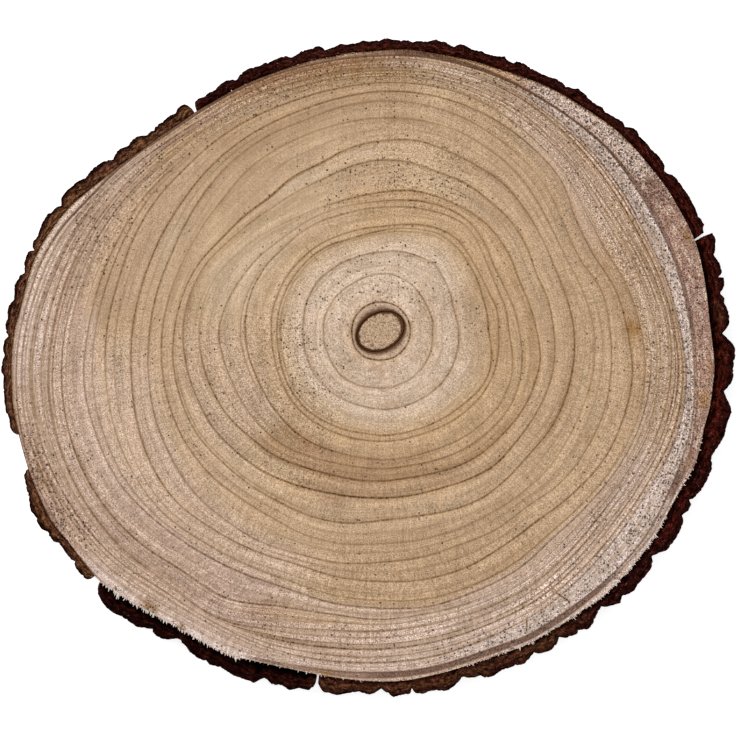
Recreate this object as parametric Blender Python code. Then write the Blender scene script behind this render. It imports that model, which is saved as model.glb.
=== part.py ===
"""A slice sawn across a trunk: the wood, the soft pith in its middle and the bark round it.

Lengths are in metres. The slice lies on its lower sawn face with +Z up, and the origin is
on the floor under the middle of it. +X is to the right of the upper face and +Y is up it.
"""

import math

import bmesh
import bpy
from mathutils import Vector

# Size: radii below are in units, of which the whole width has 733. They are read about a
# point near the middle, and MIDDLE is where the middle itself lies from that point
SLICE_WIDTH = 0.300
WIDTH_UNITS = 733.0
UNIT = SLICE_WIDTH / WIDTH_UNITS
MIDDLE = (-0.85, 0.27)
THICKNESS = 0.025
SHARP_ANGLE = 40.0

# Wood: degrees counter-clockwise from +X, radius of the sawn edge in units
WOOD_EDGE = [
    (0, 346), (4, 344.7), (8, 344.3), (12, 346), (16, 348), (20, 350), (23, 350),
    (27, 348.7), (31, 348), (35, 346), (39, 345), (43, 343.5), (47, 340.3), (51, 337),
    (55, 334.7), (59, 331.7), (63, 328.2), (67, 325.3), (71, 323.9), (75, 322),
    (79, 320.6), (82, 320.5), (86, 318.5), (90, 315.7), (94, 315), (96, 313), (100, 312),
    (104, 311), (108, 310), (114, 309.7), (120, 308.7), (124, 309.4), (128, 309.3),
    (132, 311.3), (136, 314), (140, 319), (144, 324.7), (148, 331.7), (151, 338),
    (154, 342.7), (157, 346.2), (160, 349.7), (163, 351.4), (168, 352.5), (171, 353.6),
    (174, 356), (178, 357), (182, 357.3), (186, 357.7), (190, 356.5), (194, 355.6),
    (198, 355), (202, 353.7), (206, 352.5), (210, 347.5), (214, 345.5), (217, 344.3),
    (219.5, 342.5), (222, 338.5), (225, 335), (228, 329.7), (231, 326.5), (235, 323),
    (239, 322), (242, 321.3), (245, 319.5), (248, 315.5), (252, 312.7), (256, 311.2),
    (260, 311), (265, 312), (270, 313.3), (276, 315), (282, 314.3), (290, 314),
    (295, 315.6), (300, 319.3), (304, 320), (308, 322), (312, 324), (315, 327.3),
    (320, 329.2), (325, 331), (330, 332.6), (335, 333), (339, 335.5), (343, 340.3),
    (347, 341), (350, 341), (353, 343.4), (357, 344.8),
]
WOOD_SEGMENTS = 180

# Bark: the knobbly outer edge of each piece, between the breaks
BARK_TOP = [
    (21.9, 360), (22.7, 361), (23, 364), (24, 363), (24.8, 361.5), (26, 362.3),
    (28, 362.5), (29.3, 361.3), (31.5, 360.5), (32.3, 359.5), (33, 355), (33.6, 354),
    (34, 357), (35, 358), (36.5, 358), (37.6, 356), (38.7, 356.5), (40.3, 355.5),
    (41.5, 357.3), (42.3, 356), (43.3, 350.3), (43.6, 352.7), (44.3, 353), (45.5, 350.3),
    (47.5, 347.7), (48, 349.3), (48.9, 347.5), (50.7, 347), (51.3, 348), (53.1, 348.5),
    (53.5, 346.2), (55, 343), (55.8, 344.3), (57, 344), (58.2, 341.7), (60, 340.5),
    (61.5, 340.5), (63.2, 341.5), (64.2, 340), (64.6, 336.7), (65.9, 337.3),
    (66.3, 339.8), (67.5, 337), (69.5, 334.8), (70, 336), (72, 334.5), (73.4, 336.7),
    (74.2, 336), (75.4, 331.7), (76.1, 333.5), (76.8, 334.7), (77.5, 333.7), (78.3, 335),
    (79.8, 331.3), (81.7, 330), (82.3, 327.8), (83, 329.8), (84.8, 328.5), (87.2, 330),
    (87.8, 327.5), (90, 326), (91.1, 327), (91.6, 325), (94, 323.5), (94.9, 325),
    (96.3, 322), (97.7, 320.3), (98.3, 324), (99, 326), (100, 324), (102, 323.8),
    (102.5, 322), (104, 319), (104.8, 322.5), (105.5, 322.7), (107, 321.7),
    (108.2, 320.7), (108.8, 322), (109.7, 320.3), (111.7, 322.3), (113.6, 320.3),
    (114.6, 316.3), (115.3, 318.7), (116.5, 320.7), (117.7, 319.7), (119.3, 317),
    (120.2, 318), (121.3, 316.7), (122.2, 318.3), (123.2, 317.3), (123.6, 313),
]
BARK_LEFT = [
    (124.3, 313), (124.7, 320.5), (125.3, 322), (126.3, 322.3), (127.3, 319.3),
    (128.2, 320.7), (130, 320.9), (131.5, 321.5), (132.1, 319.7), (132.9, 321.5),
    (133.6, 320.7), (135, 327), (136.3, 328.3), (137.3, 327), (138.6, 331),
    (139.3, 331.7), (141, 329.7), (141.4, 332.8), (142.2, 336), (144.3, 340.3),
    (146.2, 340.5), (146.8, 343.3), (147.7, 346), (149, 348.5), (150, 350.5),
    (151.3, 350.7), (152.2, 347), (152.9, 351.5), (153.7, 352.3), (154.4, 355.7),
    (156, 357), (157.3, 356.7), (158.3, 356), (159.3, 358.3), (160.2, 357.5),
    (160.7, 355), (161.2, 359.7), (163, 360), (164.7, 356.3), (165.1, 360.3),
    (167, 363.5), (168.1, 361.7), (169.3, 361.3), (170, 365.3), (171.3, 365.3),
    (172, 364.3), (173.3, 366), (174.4, 364.8), (175, 361), (175.5, 364.7),
    (176.7, 366.5), (177.6, 365.5), (178, 363.7), (179, 366.7), (180.7, 367.5),
    (181.2, 365), (182.7, 365.7), (185.3, 365.7), (187.2, 365.2), (187.8, 363),
    (189.5, 363.3), (190.3, 361.7), (190.7, 359),
]
BARK_LOWER_LEFT = [
    (196.7, 357.7), (197.3, 361), (199.3, 362.7), (200.7, 363.5), (202.3, 366),
    (203.1, 366.7), (204, 365), (205.3, 365.5), (206.4, 364.3), (207.2, 360),
    (207.7, 361), (209, 359.7), (209.5, 356.3), (211, 355), (212.7, 354.5), (213.3, 352),
    (214.2, 355), (216.3, 354.3), (217, 352.5), (217.3, 349),
]
BARK_BOTTOM = [
    (218.7, 346), (219.3, 350.3), (219.8, 353), (221.3, 355), (222.6, 356), (224, 354),
    (225.2, 350.8), (227, 349), (228.3, 348), (229, 345), (230.3, 340), (230.8, 341.7),
    (231.4, 342.5), (232.7, 341.3), (233.8, 337.7), (234.7, 332.3), (235.2, 331.3),
    (235.9, 333.3), (236.7, 333.3), (238, 336.7), (240, 337), (241.3, 335.5),
    (241.8, 337), (244, 334.3), (246.4, 336.3), (248.8, 335.5), (250, 335.7),
    (250.9, 330.3), (251.5, 327), (252.3, 329), (253.2, 331.5), (254.3, 329.3),
    (255.2, 330), (256.2, 332), (257.7, 328), (259.6, 327.7), (260.2, 324),
    (260.5, 319.5),
]
BARK_RIGHT = [
    (260.9, 319), (261.3, 322), (261.8, 326.7), (263.7, 327.7), (264.5, 328.5),
    (266.3, 326), (268.2, 323.3), (270, 326.5), (271.3, 324.3), (272.2, 320.3),
    (272.7, 322.7), (273.4, 325.5), (274.3, 330), (276, 328), (277.3, 328),
    (277.7, 322.7), (278.1, 328), (279.6, 329.7), (280.8, 328.2), (282.2, 329.3),
    (282.9, 331), (284, 331), (285.3, 328.3), (287, 322.3), (288, 325.3), (289, 326.7),
    (290, 326.3), (290.6, 330.7), (292, 332), (293.4, 329.7), (296.2, 331),
    (297.5, 333.8), (298.8, 331.7), (300, 328.7), (301, 332.7), (303, 335.5),
    (304.3, 333.3), (305.3, 328.7), (306, 333.5), (308.1, 337.3), (308.6, 335),
    (310, 341), (311.3, 339.3), (312.8, 335.3), (314.2, 332.3), (315, 337.3),
    (317, 344), (318, 339.7), (318.6, 342.7), (320, 346), (321, 344.7), (324.5, 346),
    (325.7, 343), (326.3, 339.3), (327.5, 343.7), (328.4, 348.8), (329.8, 350),
    (332, 351), (333.9, 349.5), (335, 345.5), (335.8, 349.5), (337.1, 349.4),
    (337.6, 345.3), (338.1, 350), (339, 351), (339.8, 353.8), (342, 356.2),
    (343.7, 357), (345.5, 353), (347, 357), (349, 361.3), (351.3, 362), (353, 365),
    (354.1, 362.5), (355, 358.3), (356.2, 355), (357.3, 361.3), (358.7, 364.3),
    (360, 363.7), (362, 366), (363, 366), (364, 363), (365.5, 354.5), (366.5, 361),
    (367.2, 363), (368.7, 363.5), (370.3, 360.5), (371, 362), (372, 358), (372.7, 363.5),
    (374.2, 365.5), (374.5, 360.5), (375, 365), (376.5, 365.5), (377.9, 362),
    (378.8, 365), (380.3, 369), (381.4, 368.5),
]

# Each piece: outer edge, the two ends of its inner face in degrees, and how far its upper
# face lies under the wood's at the inner face, along the middle and at the outer edge
BARK_PIECES = {
    "bark_top": (BARK_TOP, (21.45, 123.85), (0.0016, 0.0008, 0.0018)),
    "bark_left": (BARK_LEFT, (124.35, 190.9), (0.0008, 0.0006, 0.0020)),
    "bark_lower_left": (BARK_LOWER_LEFT, (196.6, 217.15), (0.0008, 0.0006, 0.0018)),
    "bark_bottom": (BARK_BOTTOM, (218.55, 260.55), (0.0060, 0.0022, 0.0034)),
    "bark_right": (BARK_RIGHT, (260.85, 381.1), (0.0040, 0.0014, 0.0030)),
}
BARK_GAP = 0.0003
BARK_FOOT = 0.0008
BARK_FOOT_OUTER = 0.0018
BARK_ROWS_ACROSS = 2
BARK_ROWS_UP = 3
BARK_HOLLOW = (0.30, 0.10, 0.0, 0.12)
BARK_SWING = (0.14, 0.10, 0.0, 0.08)
BARK_WAVES = ((0.33, 2.1), (0.87, 4.7))
BARK_DIP = 0.0008

# Pith: an oval plug in an oval hollow that runs through the wood, with a groove round both ends
PITH_CENTRE = (12.0, 36.2)
PITH_TILT = 28.0
HOLLOW_LONG = 51.0
HOLLOW_SHORT = 38.5
PLUG_SHARE = 0.83
PLUG_GAP = 0.0003
PLUG_GROOVE = 0.0022
PLUG_FOOT = 0.0010
PLUG_SEGMENTS = 48
PLUG_CROWN = 0.0004
CUTTER_MARGIN = 0.005

# Colours, linear
WOOD_COLOUR = (0.56, 0.43, 0.29)
PITH_COLOUR = (0.54, 0.40, 0.24)
BARK_COLOUR = (0.045, 0.016, 0.011)
LEFT_BARK_COLOUR = (0.085, 0.035, 0.017)


def clear_scene():
    for item in list(bpy.data.objects):
        bpy.data.objects.remove(item, do_unlink=True)


def new_collection(name):
    collection = bpy.data.collections.new(name)
    bpy.context.scene.collection.children.link(collection)
    return collection


def new_material(name, colour, roughness):
    material = bpy.data.materials.new(name)
    material.use_nodes = True
    shader = material.node_tree.nodes["Principled BSDF"]
    shader.inputs["Base Color"].default_value = (*colour, 1.0)
    shader.inputs["Roughness"].default_value = roughness
    shader.inputs["Metallic"].default_value = 0.0
    return material


def new_object(name, shape, collection, material=None):
    mesh = bpy.data.meshes.new(name)
    shape.to_mesh(mesh)
    shape.free()
    mesh.shade_smooth()
    mesh.set_sharp_from_angle(angle=math.radians(SHARP_ANGLE))
    item = bpy.data.objects.new(name, mesh)
    collection.objects.link(item)
    if material:
        mesh.materials.append(material)
    return item


def wood_radius(degrees):
    """The radius of the wood at this angle, on a smooth curve through the listed points."""
    degrees = degrees % 360.0
    count = len(WOOD_EDGE)
    after = next((i for i, (a, r) in enumerate(WOOD_EDGE) if a > degrees), count)
    points = []
    for step in (-2, -1, 0, 1):
        turns, index = divmod(after + step, count)
        angle, radius = WOOD_EDGE[index]
        points.append((angle + 360.0 * turns, radius))
    (a0, r0), (a1, r1), (a2, r2), (a3, r3) = points
    share = (degrees - a1) / (a2 - a1)
    slope_in = (r2 - r0) / (a2 - a0) * (a2 - a1)
    slope_out = (r3 - r1) / (a3 - a1) * (a2 - a1)
    square, cube = share**2, share**3
    value = (2 * cube - 3 * square + 1) * r1 + (3 * square - 2 * cube) * r2
    value += (cube - 2 * square + share) * slope_in + (cube - square) * slope_out
    return value * UNIT


def on_circle(degrees, radius):
    """A point on the floor, at this radius from the point that the lists are read about."""
    angle = math.radians(degrees)
    x = radius * math.cos(angle) - MIDDLE[0] * UNIT
    y = radius * math.sin(angle) - MIDDLE[1] * UNIT
    return Vector((x, y, 0.0))


def oval(shape, long_axis, short_axis):
    """Turns verts round a circle of radius 1 into the tilted oval of the pith."""
    tilt = math.radians(PITH_TILT)
    for vert in shape.verts:
        x = vert.co.x * long_axis
        y = vert.co.y * short_axis
        vert.co.x = (PITH_CENTRE[0] - MIDDLE[0]) * UNIT + x * math.cos(tilt) - y * math.sin(tilt)
        vert.co.y = (PITH_CENTRE[1] - MIDDLE[1]) * UNIT + x * math.sin(tilt) + y * math.cos(tilt)


def make_wood(collection, cutters, material):
    shape = bmesh.new()
    bmesh.ops.create_circle(shape, cap_ends=True, radius=1.0, segments=WOOD_SEGMENTS)
    for vert in shape.verts:
        degrees = math.degrees(math.atan2(vert.co.y, vert.co.x))
        vert.co = on_circle(degrees, wood_radius(degrees))
    raised = bmesh.ops.extrude_face_region(shape, geom=shape.faces[:])
    top = [item for item in raised["geom"] if isinstance(item, bmesh.types.BMVert)]
    bmesh.ops.translate(shape, vec=(0, 0, THICKNESS), verts=top)
    bmesh.ops.recalc_face_normals(shape, faces=shape.faces)
    wood = new_object("wood", shape, collection, material)

    hollow = bmesh.new()
    bmesh.ops.create_cone(
        hollow, cap_ends=True, segments=PLUG_SEGMENTS, radius1=1.0, radius2=1.0,
        depth=THICKNESS + 2 * CUTTER_MARGIN,
    )
    bmesh.ops.translate(hollow, vec=(0, 0, THICKNESS / 2), verts=hollow.verts)
    oval(hollow, HOLLOW_LONG / 2 * UNIT, HOLLOW_SHORT / 2 * UNIT)
    cutter = new_object("pith_hollow_cutter", hollow, cutters)
    cutter.display_type = "WIRE"
    cutter.hide_render = True
    cut = wood.modifiers.new("pith_hollow", "BOOLEAN")
    cut.operation = "DIFFERENCE"
    cut.solver = "EXACT"
    cut.object = cutter
    return wood


def make_pith(collection, material):
    """The plug fills the hollow, and stands in from its wall at both ends."""
    narrow = PLUG_SHARE
    wide = 1.0 - PLUG_GAP / (HOLLOW_SHORT / 2 * UNIT)
    levels = [
        (0.0, PLUG_FOOT), (narrow, PLUG_FOOT), (narrow, PLUG_GROOVE), (wide, PLUG_GROOVE),
        (wide, THICKNESS - PLUG_GROOVE), (narrow, THICKNESS - PLUG_GROOVE),
        (narrow, THICKNESS - PLUG_CROWN), (narrow / 2, THICKNESS - PLUG_CROWN / 4),
        (0.0, THICKNESS - PLUG_CROWN / 2),
    ]
    shape = bmesh.new()
    profile = [shape.verts.new((radius, 0.0, height)) for radius, height in levels]
    edges = [shape.edges.new(pair) for pair in zip(profile, profile[1:])]
    bmesh.ops.spin(
        shape, geom=profile + edges, cent=(0, 0, 0), axis=(0, 0, 1),
        angle=2 * math.pi, steps=PLUG_SEGMENTS, use_merge=True,
    )
    bmesh.ops.remove_doubles(shape, verts=shape.verts, dist=1e-6)
    oval(shape, HOLLOW_LONG / 2 * UNIT, HOLLOW_SHORT / 2 * UNIT)
    bmesh.ops.recalc_face_normals(shape, faces=shape.faces)
    return new_object("pith", shape, collection, material)


def block(columns, across, up):
    """A box of unit size, subdivided along its three axes."""
    shape = bmesh.new()
    bmesh.ops.create_cube(shape, size=1.0)
    for axis, parts in enumerate((columns, across, up)):
        along = [
            edge for edge in shape.edges
            if abs(edge.verts[0].co[axis] - edge.verts[1].co[axis]) > 0.5
        ]
        bmesh.ops.subdivide_edges(shape, edges=along, cuts=parts - 1, use_grid_fill=True)
    return shape


def make_bark(name, collection, material):
    """A box bent along the wood's edge, with the fissures of the outer edge carried down it."""
    outline, (inner_start, inner_end), depths = BARK_PIECES[name]
    first, last = outline[0][0], outline[-1][0]
    columns = len(outline) - 1
    shape = block(columns, BARK_ROWS_ACROSS, BARK_ROWS_UP)
    for vert in shape.verts:
        column = round((vert.co.x + 0.5) * columns)
        row = round((0.5 - vert.co.y) * BARK_ROWS_ACROSS)
        level = round((vert.co.z + 0.5) * BARK_ROWS_UP)
        degrees, radius = outline[column]
        share = (degrees - first) / (last - first)
        inner_degrees = inner_start + (inner_end - inner_start) * share
        inner_radius = wood_radius(inner_degrees) + BARK_GAP
        wave = sum(math.sin(degrees * rate + level * turn) for rate, turn in BARK_WAVES) / 2
        thickness = radius * UNIT - inner_radius
        hollow = thickness * (BARK_HOLLOW[level] + BARK_SWING[level] * wave)
        inner = on_circle(inner_degrees, inner_radius)
        outer = on_circle(degrees, radius * UNIT - hollow)
        out = row / BARK_ROWS_ACROSS
        place = inner.lerp(outer, out)
        foot = BARK_FOOT + (BARK_FOOT_OUTER - BARK_FOOT) * out
        dip = BARK_DIP / 2 * (1 + math.sin(degrees * BARK_WAVES[0][0])) * out
        height = THICKNESS - depths[row] - dip
        place.z = foot + (height - foot) * level / BARK_ROWS_UP
        vert.co = place
    return new_object(name, shape, collection, material)


def main():
    clear_scene()
    collection = new_collection("wood_slice")
    cutters = new_collection("cutters")
    wood = new_material("wood", WOOD_COLOUR, 0.75)
    pith = new_material("pith", PITH_COLOUR, 0.95)
    bark = new_material("bark", BARK_COLOUR, 0.85)
    left_bark = new_material("left_bark", LEFT_BARK_COLOUR, 0.85)
    make_wood(collection, cutters, wood)
    make_pith(collection, pith)
    for name in BARK_PIECES:
        make_bark(name, collection, left_bark if "left" in name else bark)
    cutters.hide_render = True


main()
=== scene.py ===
"""A slice sawn across a trunk, with its bark, on a pale floor.

Lengths are in metres and angles in degrees counter-clockwise from +X. Radii in the lists are in
units of UNIT, of which the whole width of the slice has 733, and are read about a point near the
middle, or about the pith where a list says so.
"""

import math
import random

import bmesh
import bpy
import numpy as np
from mathutils import Matrix, Vector, noise


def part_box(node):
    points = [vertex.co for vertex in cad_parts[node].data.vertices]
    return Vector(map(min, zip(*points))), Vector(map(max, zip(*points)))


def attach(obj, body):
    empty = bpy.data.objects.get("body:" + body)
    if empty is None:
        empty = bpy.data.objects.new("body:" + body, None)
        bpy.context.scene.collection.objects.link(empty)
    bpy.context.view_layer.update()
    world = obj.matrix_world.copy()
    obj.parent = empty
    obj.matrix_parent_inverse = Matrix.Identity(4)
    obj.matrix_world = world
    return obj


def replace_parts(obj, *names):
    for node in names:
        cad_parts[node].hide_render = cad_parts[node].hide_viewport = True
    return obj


bl_info = {
    "name": "Wood Slice",
    "version": (1, 0, 0),
    "blender": (4, 5, 0),
    "location": "3D View > Sidebar > Slice",
    "description": "Makes a slice of a trunk with its rings, pith and bark",
    "category": "Object",
}

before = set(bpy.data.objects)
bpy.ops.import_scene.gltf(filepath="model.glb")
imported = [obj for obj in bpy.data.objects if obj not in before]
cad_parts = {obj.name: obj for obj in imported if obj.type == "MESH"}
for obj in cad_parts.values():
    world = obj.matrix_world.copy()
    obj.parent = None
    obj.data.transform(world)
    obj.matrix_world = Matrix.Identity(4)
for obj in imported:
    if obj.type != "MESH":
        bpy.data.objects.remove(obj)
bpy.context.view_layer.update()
WOOD_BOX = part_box("wood")

# The reading of the slice: its scale, and where its middle and its pith lie from the reading point
UNIT = 0.300 / 733.0
MIDDLE = (-0.85, 0.27)
PITH = (12.5, 36.5)
OVAL_CENTRE = (12.0, 36.2)
OVAL_TILT = 28.0
HOLLOW_LONG = 51.0
HOLLOW_SHORT = 38.5
PLUG_SHARE = 0.925
PLUG_SHIFT = (-0.9, -0.4)
RING_STEP = 10.0

# The sawn edge of the wood: degrees, radius
WOOD_EDGE = [
    (0, 346), (4, 344.7), (8, 344.3), (12, 346), (16, 348), (20, 350), (23, 350),
    (27, 348.7), (31, 348), (35, 346), (39, 345), (43, 343.5), (47, 340.3), (51, 337),
    (55, 334.7), (59, 331.7), (63, 328.2), (67, 325.3), (71, 323.9), (75, 322),
    (79, 320.6), (82, 320.5), (86, 318.5), (90, 315.7), (94, 315), (96, 313), (100, 312),
    (104, 310.5), (108, 309.4), (114, 308.8), (120, 307.8), (124, 308.6), (128, 308.8),
    (132, 311.3), (136, 314), (140, 319), (144, 324.7), (148, 331.7), (151, 338),
    (154, 342.7), (157, 346.2), (160, 349.7), (163, 351.4), (168, 352.5), (171, 353.6),
    (174, 356), (178, 357), (182, 357.3), (186, 357.7), (190, 356.5), (194, 355.6),
    (198, 355), (202, 353.7), (206, 352.5), (210, 347.5), (214, 345.5), (217, 344.3),
    (219.5, 342), (222, 337), (225, 333.3), (228, 328.2), (231, 325), (235, 321.5),
    (239, 320.5), (242, 320), (245, 318.8), (248, 315.5), (252, 312.7), (256, 311.2),
    (260, 311), (265, 312), (270, 313.3), (276, 315), (282, 314.3), (290, 314),
    (295, 315.6), (300, 319.3), (304, 320), (308, 322), (312, 324), (315, 327.3),
    (320, 329.2), (325, 331), (330, 332.6), (335, 333), (339, 335.5), (343, 340.3),
    (347, 341), (350, 341), (353, 343.4), (357, 344.8),
]

# The mauve band under the bark: degrees, inner radius, outer radius
BAND = [
    (0, 325.5, 328), (10, 324, 327), (20, 323.5, 326.5), (30, 322, 326), (34, 322.2, 326),
    (38.5, 323, 325.2), (43, 323.3, 324.6), (46.5, 322.2, 323.4), (50, 320.9, 322),
    (53.5, 319.8, 320.9), (57, 319.2, 320.4), (60.5, 318.8, 320.2), (64, 318.4, 320.3),
    (67.5, 317.8, 320.5), (71, 317.1, 320.4), (74.5, 316.3, 320), (78, 315.5, 319.5), (81, 314.7, 319),
    (85, 313.2, 317.3), (90, 311, 313.5), (100, 308, 310), (115, 306.5, 308.3), (124, 306, 308.3),
    (131, 308, 310), (138, 314.8, 316.4), (143, 320.2, 321.9), (147, 324, 325.8), (150, 327.8, 329.5),
    (156, 337.3, 338.8), (163, 344.3, 346.2), (168, 346.5, 351), (174, 350, 353.5), (182, 352.5, 355),
    (190, 353, 355.3), (200, 350.5, 353.7), (207, 347.5, 350.3), (215, 340.5, 342.7), (225, 330, 332),
    (235, 318.5, 320.5), (246, 313, 315.2), (252, 308.5, 311.5), (260, 305.5, 308.2),
    (265, 305.3, 309.8), (270, 305, 310.4), (280, 306, 311.2), (290, 305.6, 310.6), (296, 307.6, 312.8),
    (300, 311, 316), (305, 312.5, 318), (310, 314, 319.5), (317, 318, 322), (324, 322, 325),
    (330, 324.5, 329.5), (338, 325, 331), (343, 326.5, 333), (350, 328, 331.5),
]

# Stretches where the band is fainter: from and to degrees, what is left of it
BAND_GAPS = [
    (90, 122, 0.45), (166, 208, 0.25), (214, 246, 0.0), (255, 266, 0.6),
    (316, 328, 0.4), (338, 356, 0.25),
]

# Growth rings: radius about the pith every 10 degrees from +X
RINGS = {
    "A": [29, 29, 29, 29, 29, 29, 29, 29, 29, 29, 29, 29, 29, 29, 29, 29, 29, 29,
          29, 29.3, 29.8, 30.5, 30.5, 30.5, 30.2, 29.5, 29, 29, 29, 29, 29, 29, 29, 29, 29, 29],
    "B": [51.2, 52.3, 52, 52.3, 53.2, 54.4, 55.9, 56.7, 57.4, 57, 56.3, 55.7, 54.8, 55.5, 56.2,
          56.7, 57.3, 57.8, 57.5, 57.7, 57.7, 58, 59, 59.5, 59, 58.2, 57, 57, 57, 56.3, 56, 55.5,
          55, 54.2, 53.2, 52],
    "C": [77.7, 76.3, 76.5, 79.3, 81.7, 85, 83.8, 82.8, 81.2, 79.2, 78.2, 77.8, 78.5, 79.2, 80.6,
          80, 79.5, 78.6, 78.4, 78.6, 79, 79.5, 79.2, 78.8, 78, 77.5, 77.5, 78.2, 78.7, 78.6, 79,
          79.5, 80, 79.6, 79.2, 78.5],
    "D": [107.5, 107.3, 107, 109.3, 110.8, 112.6, 112.6, 108.2, 104, 100, 97.8, 97.2, 99.5, 101.2,
          101.8, 102.8, 103.5, 104, 104, 104.3, 105.5, 107.2, 107.7, 107.5, 106, 104.8, 103.6,
          104.3, 104.3, 104.7, 106, 108, 110.5, 114.5, 115.4, 112],
    "D2": [117.7, 118, 114.3, 113.8, 115.8, 119, 117.5, 112.9, 107.9, 104.3, 103.6, 103.8, 105,
           106.6, 107.5, 108.7, 109.4, 110, 109.6, 109.7, 110.7, 112, 113.2, 113, 112, 111, 110.3,
           110.2, 110.4, 110.5, 112.3, 115, 117.3, 119.5, 120.3, 119],
    "E": [127.9, 126.4, 123.8, 124.8, 129.6, 135.2, 133.2, 129.3, 126, 123.6, 122.8, 123, 125.5,
          127.2, 128.4, 132.1, 134.5, 135.8, 135.8, 134.5, 132.6, 132.2, 132, 132.2, 131, 128.8,
          128, 128.5, 128.8, 129.5, 132, 135, 137.5, 139.3, 138.2, 133],
    "F": [138.2, 134.5, 130.7, 130.2, 135.5, 140, 139.7, 136.8, 133, 129.6, 129, 130, 131.5,
          133.5, 137, 143.5, 149.8, 156.8, 162, 160, 157, 155.3, 153, 150, 144.5, 139.7, 138,
          137.7, 137.3, 139.2, 142.5, 145.5, 147.5, 149, 147, 143.3],
    "G": [155.8, 150.8, 147.2, 149, 150, 149.6, 146.8, 145.2, 142.6, 138.6, 136.3, 136, 138.8,
          143.2, 151.8, 160.8, 172, 178.8, 181.8, 181.3, 178.6, 174.3, 167.8, 163.3, 156.7, 152.2,
          151, 150.2, 149.5, 151.5, 155.5, 158.3, 159.5, 161.7, 162.3, 161.4],
    "H": [172.7, 169.9, 165.8, 168.3, 170, 169.3, 170.3, 168.8, 171, 171, 167.4, 163, 162.5, 164,
          169.3, 177.5, 188.2, 194.5, 197.8, 197.6, 195.8, 193.8, 188.3, 183, 176.5, 171, 168,
          167, 167, 168, 171.7, 175.6, 174.5, 175.3, 176.5, 175.8],
    "I": [193, 188.6, 184.8, 185.6, 188.2, 191.4, 191, 192, 193.5, 190, 185.5, 178.5, 177.5,
          174.5, 179, 184.6, 194.5, 201.5, 206.7, 210.5, 211.4, 210.5, 205.5, 202, 199, 198, 195,
          189.5, 188.3, 191.5, 195, 194, 192.8, 195.7, 196, 195.2],
    "J": [213, 206.4, 199.3, 198.8, 203.1, 208.5, 211.3, 214.3, 214, 213, 211.3, 210, 209.5, 209,
          206, 206.8, 209.5, 214, 218.5, 222, 224.3, 225, 223, 218.5, 216, 217.5, 216, 212.7,
          212.5, 212.3, 212.5, 214.3, 216.5, 215.7, 215.5, 216],
    "K": [229, 224.5, 211.3, 211.5, 218.3, 222.6, 225.5, 229, 230.5, 229.7, 227.5, 224, 225.5,
          225.5, 224.5, 223, 223.3, 227, 231.2, 236.3, 241.5, 244.5, 246.7, 245, 242.5, 237.5,
          235.5, 231.2, 229.7, 228, 229.3, 228.3, 235, 236.7, 237, 233.5],
    "L": [246.3, 238.1, 225.5, 224.5, 234.5, 237.6, 239.4, 240.7, 240.7, 239.6, 236.5, 234.8,
          235.3, 236.3, 236.7, 237.5, 240, 243.7, 248.7, 253.5, 260, 265.5, 266.2, 259.5, 253.5,
          248, 249.5, 250.5, 252, 251, 247, 246, 251.5, 257, 257.5, 255],
    "M": [260, 250, 238.3, 236.5, 241.7, 244.5, 248.3, 250.5, 250, 248.2, 246.5, 246, 248.5,
          251.7, 254.5, 260.3, 264.2, 267.7, 274.2, 279.3, 283.5, 285.5, 283.5, 275.5, 269.5,
          265.8, 268, 269.5, 271.5, 270, 267.5, 263.3, 265.5, 269, 270.5, 268],
    "N": [267, 258, 250.5, 247, 250, 251.5, 253, 254, 254, 252.5, 252.3, 252.7, 254, 258, 263,
          271.5, 277.8, 285, 293, 301.5, 303, 302.5, 294.5, 286, 279, 274, 276, 277, 279.3, 276.8,
          274.5, 269, 270, 273.5, 275.2, 273.5],
    "O": [277.5, 268.5, 259.5, 254, 254.5, 257, 259.5, 259.5, 259, 257.5, 257, 257.5, 261.5,
          266.5, 273.5, 285, 296, 305.5, 315.8, 324, 328.5, 328, 322, 311.5, 308.3, 293, 287.7,
          288.5, 286, 285.3, 283.5, 279, 277, 281.3, 283.5, 282],
    "P": [286, 276.5, 267.5, 262, 261.3, 262.8, 266, 266, 265, 263, 263, 263, 268, 273, 283.5,
          294, 306, 318, 328, 338, 342, 341.5, 338, 330, 329, 314, 303.5, 300, 297.3, 296.2,
          295.3, 290.3, 286.2, 287, 289.5, 289.5],
    "Q": [299.5, 290.5, 281.5, 278.5, 276.7, 276, 275.5, 273.5, 271.5, 270.5, 270.5, 271.5, 273,
          277, 288, 304, 320, 333, 347, 356, 358, 355.5, 350, 339, 336, 336, 334, 331.5, 329,
          324.5, 321.5, 316.5, 312.5, 311.5, 313.5, 310],
}

# How dark each ring's line is, and how far the wood inside it is shaded
RING_DEPTH = {
    # The line at the hollow's edge is painted shade at the lip of the groove
    "hollow": (0.35, 0.0), "A": (0.38, 0.0), "B": (0.19, 0.0), "C": (0.20, 0.10), "D": (0.23, 0.03),
    "D2": (0.20, 0.04), "E": (0.18, 0.0), "F": (0.17, 0.0), "G": (0.24, 0.05),
    "H": (0.22, 0.06), "I": (0.20, 0.05), "J": (0.13, 0.04), "K": (0.19, 0.02),
    "L": (0.24, 0.02), "M": (0.16, 0.0), "N": (0.18, 0.02), "O": (0.18, 0.02),
    "P": (0.15, 0.02), "Q": (0.15, 0.03), "band": (0.22, 0.0), "band2": (0.12, 0.0),
}

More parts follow.
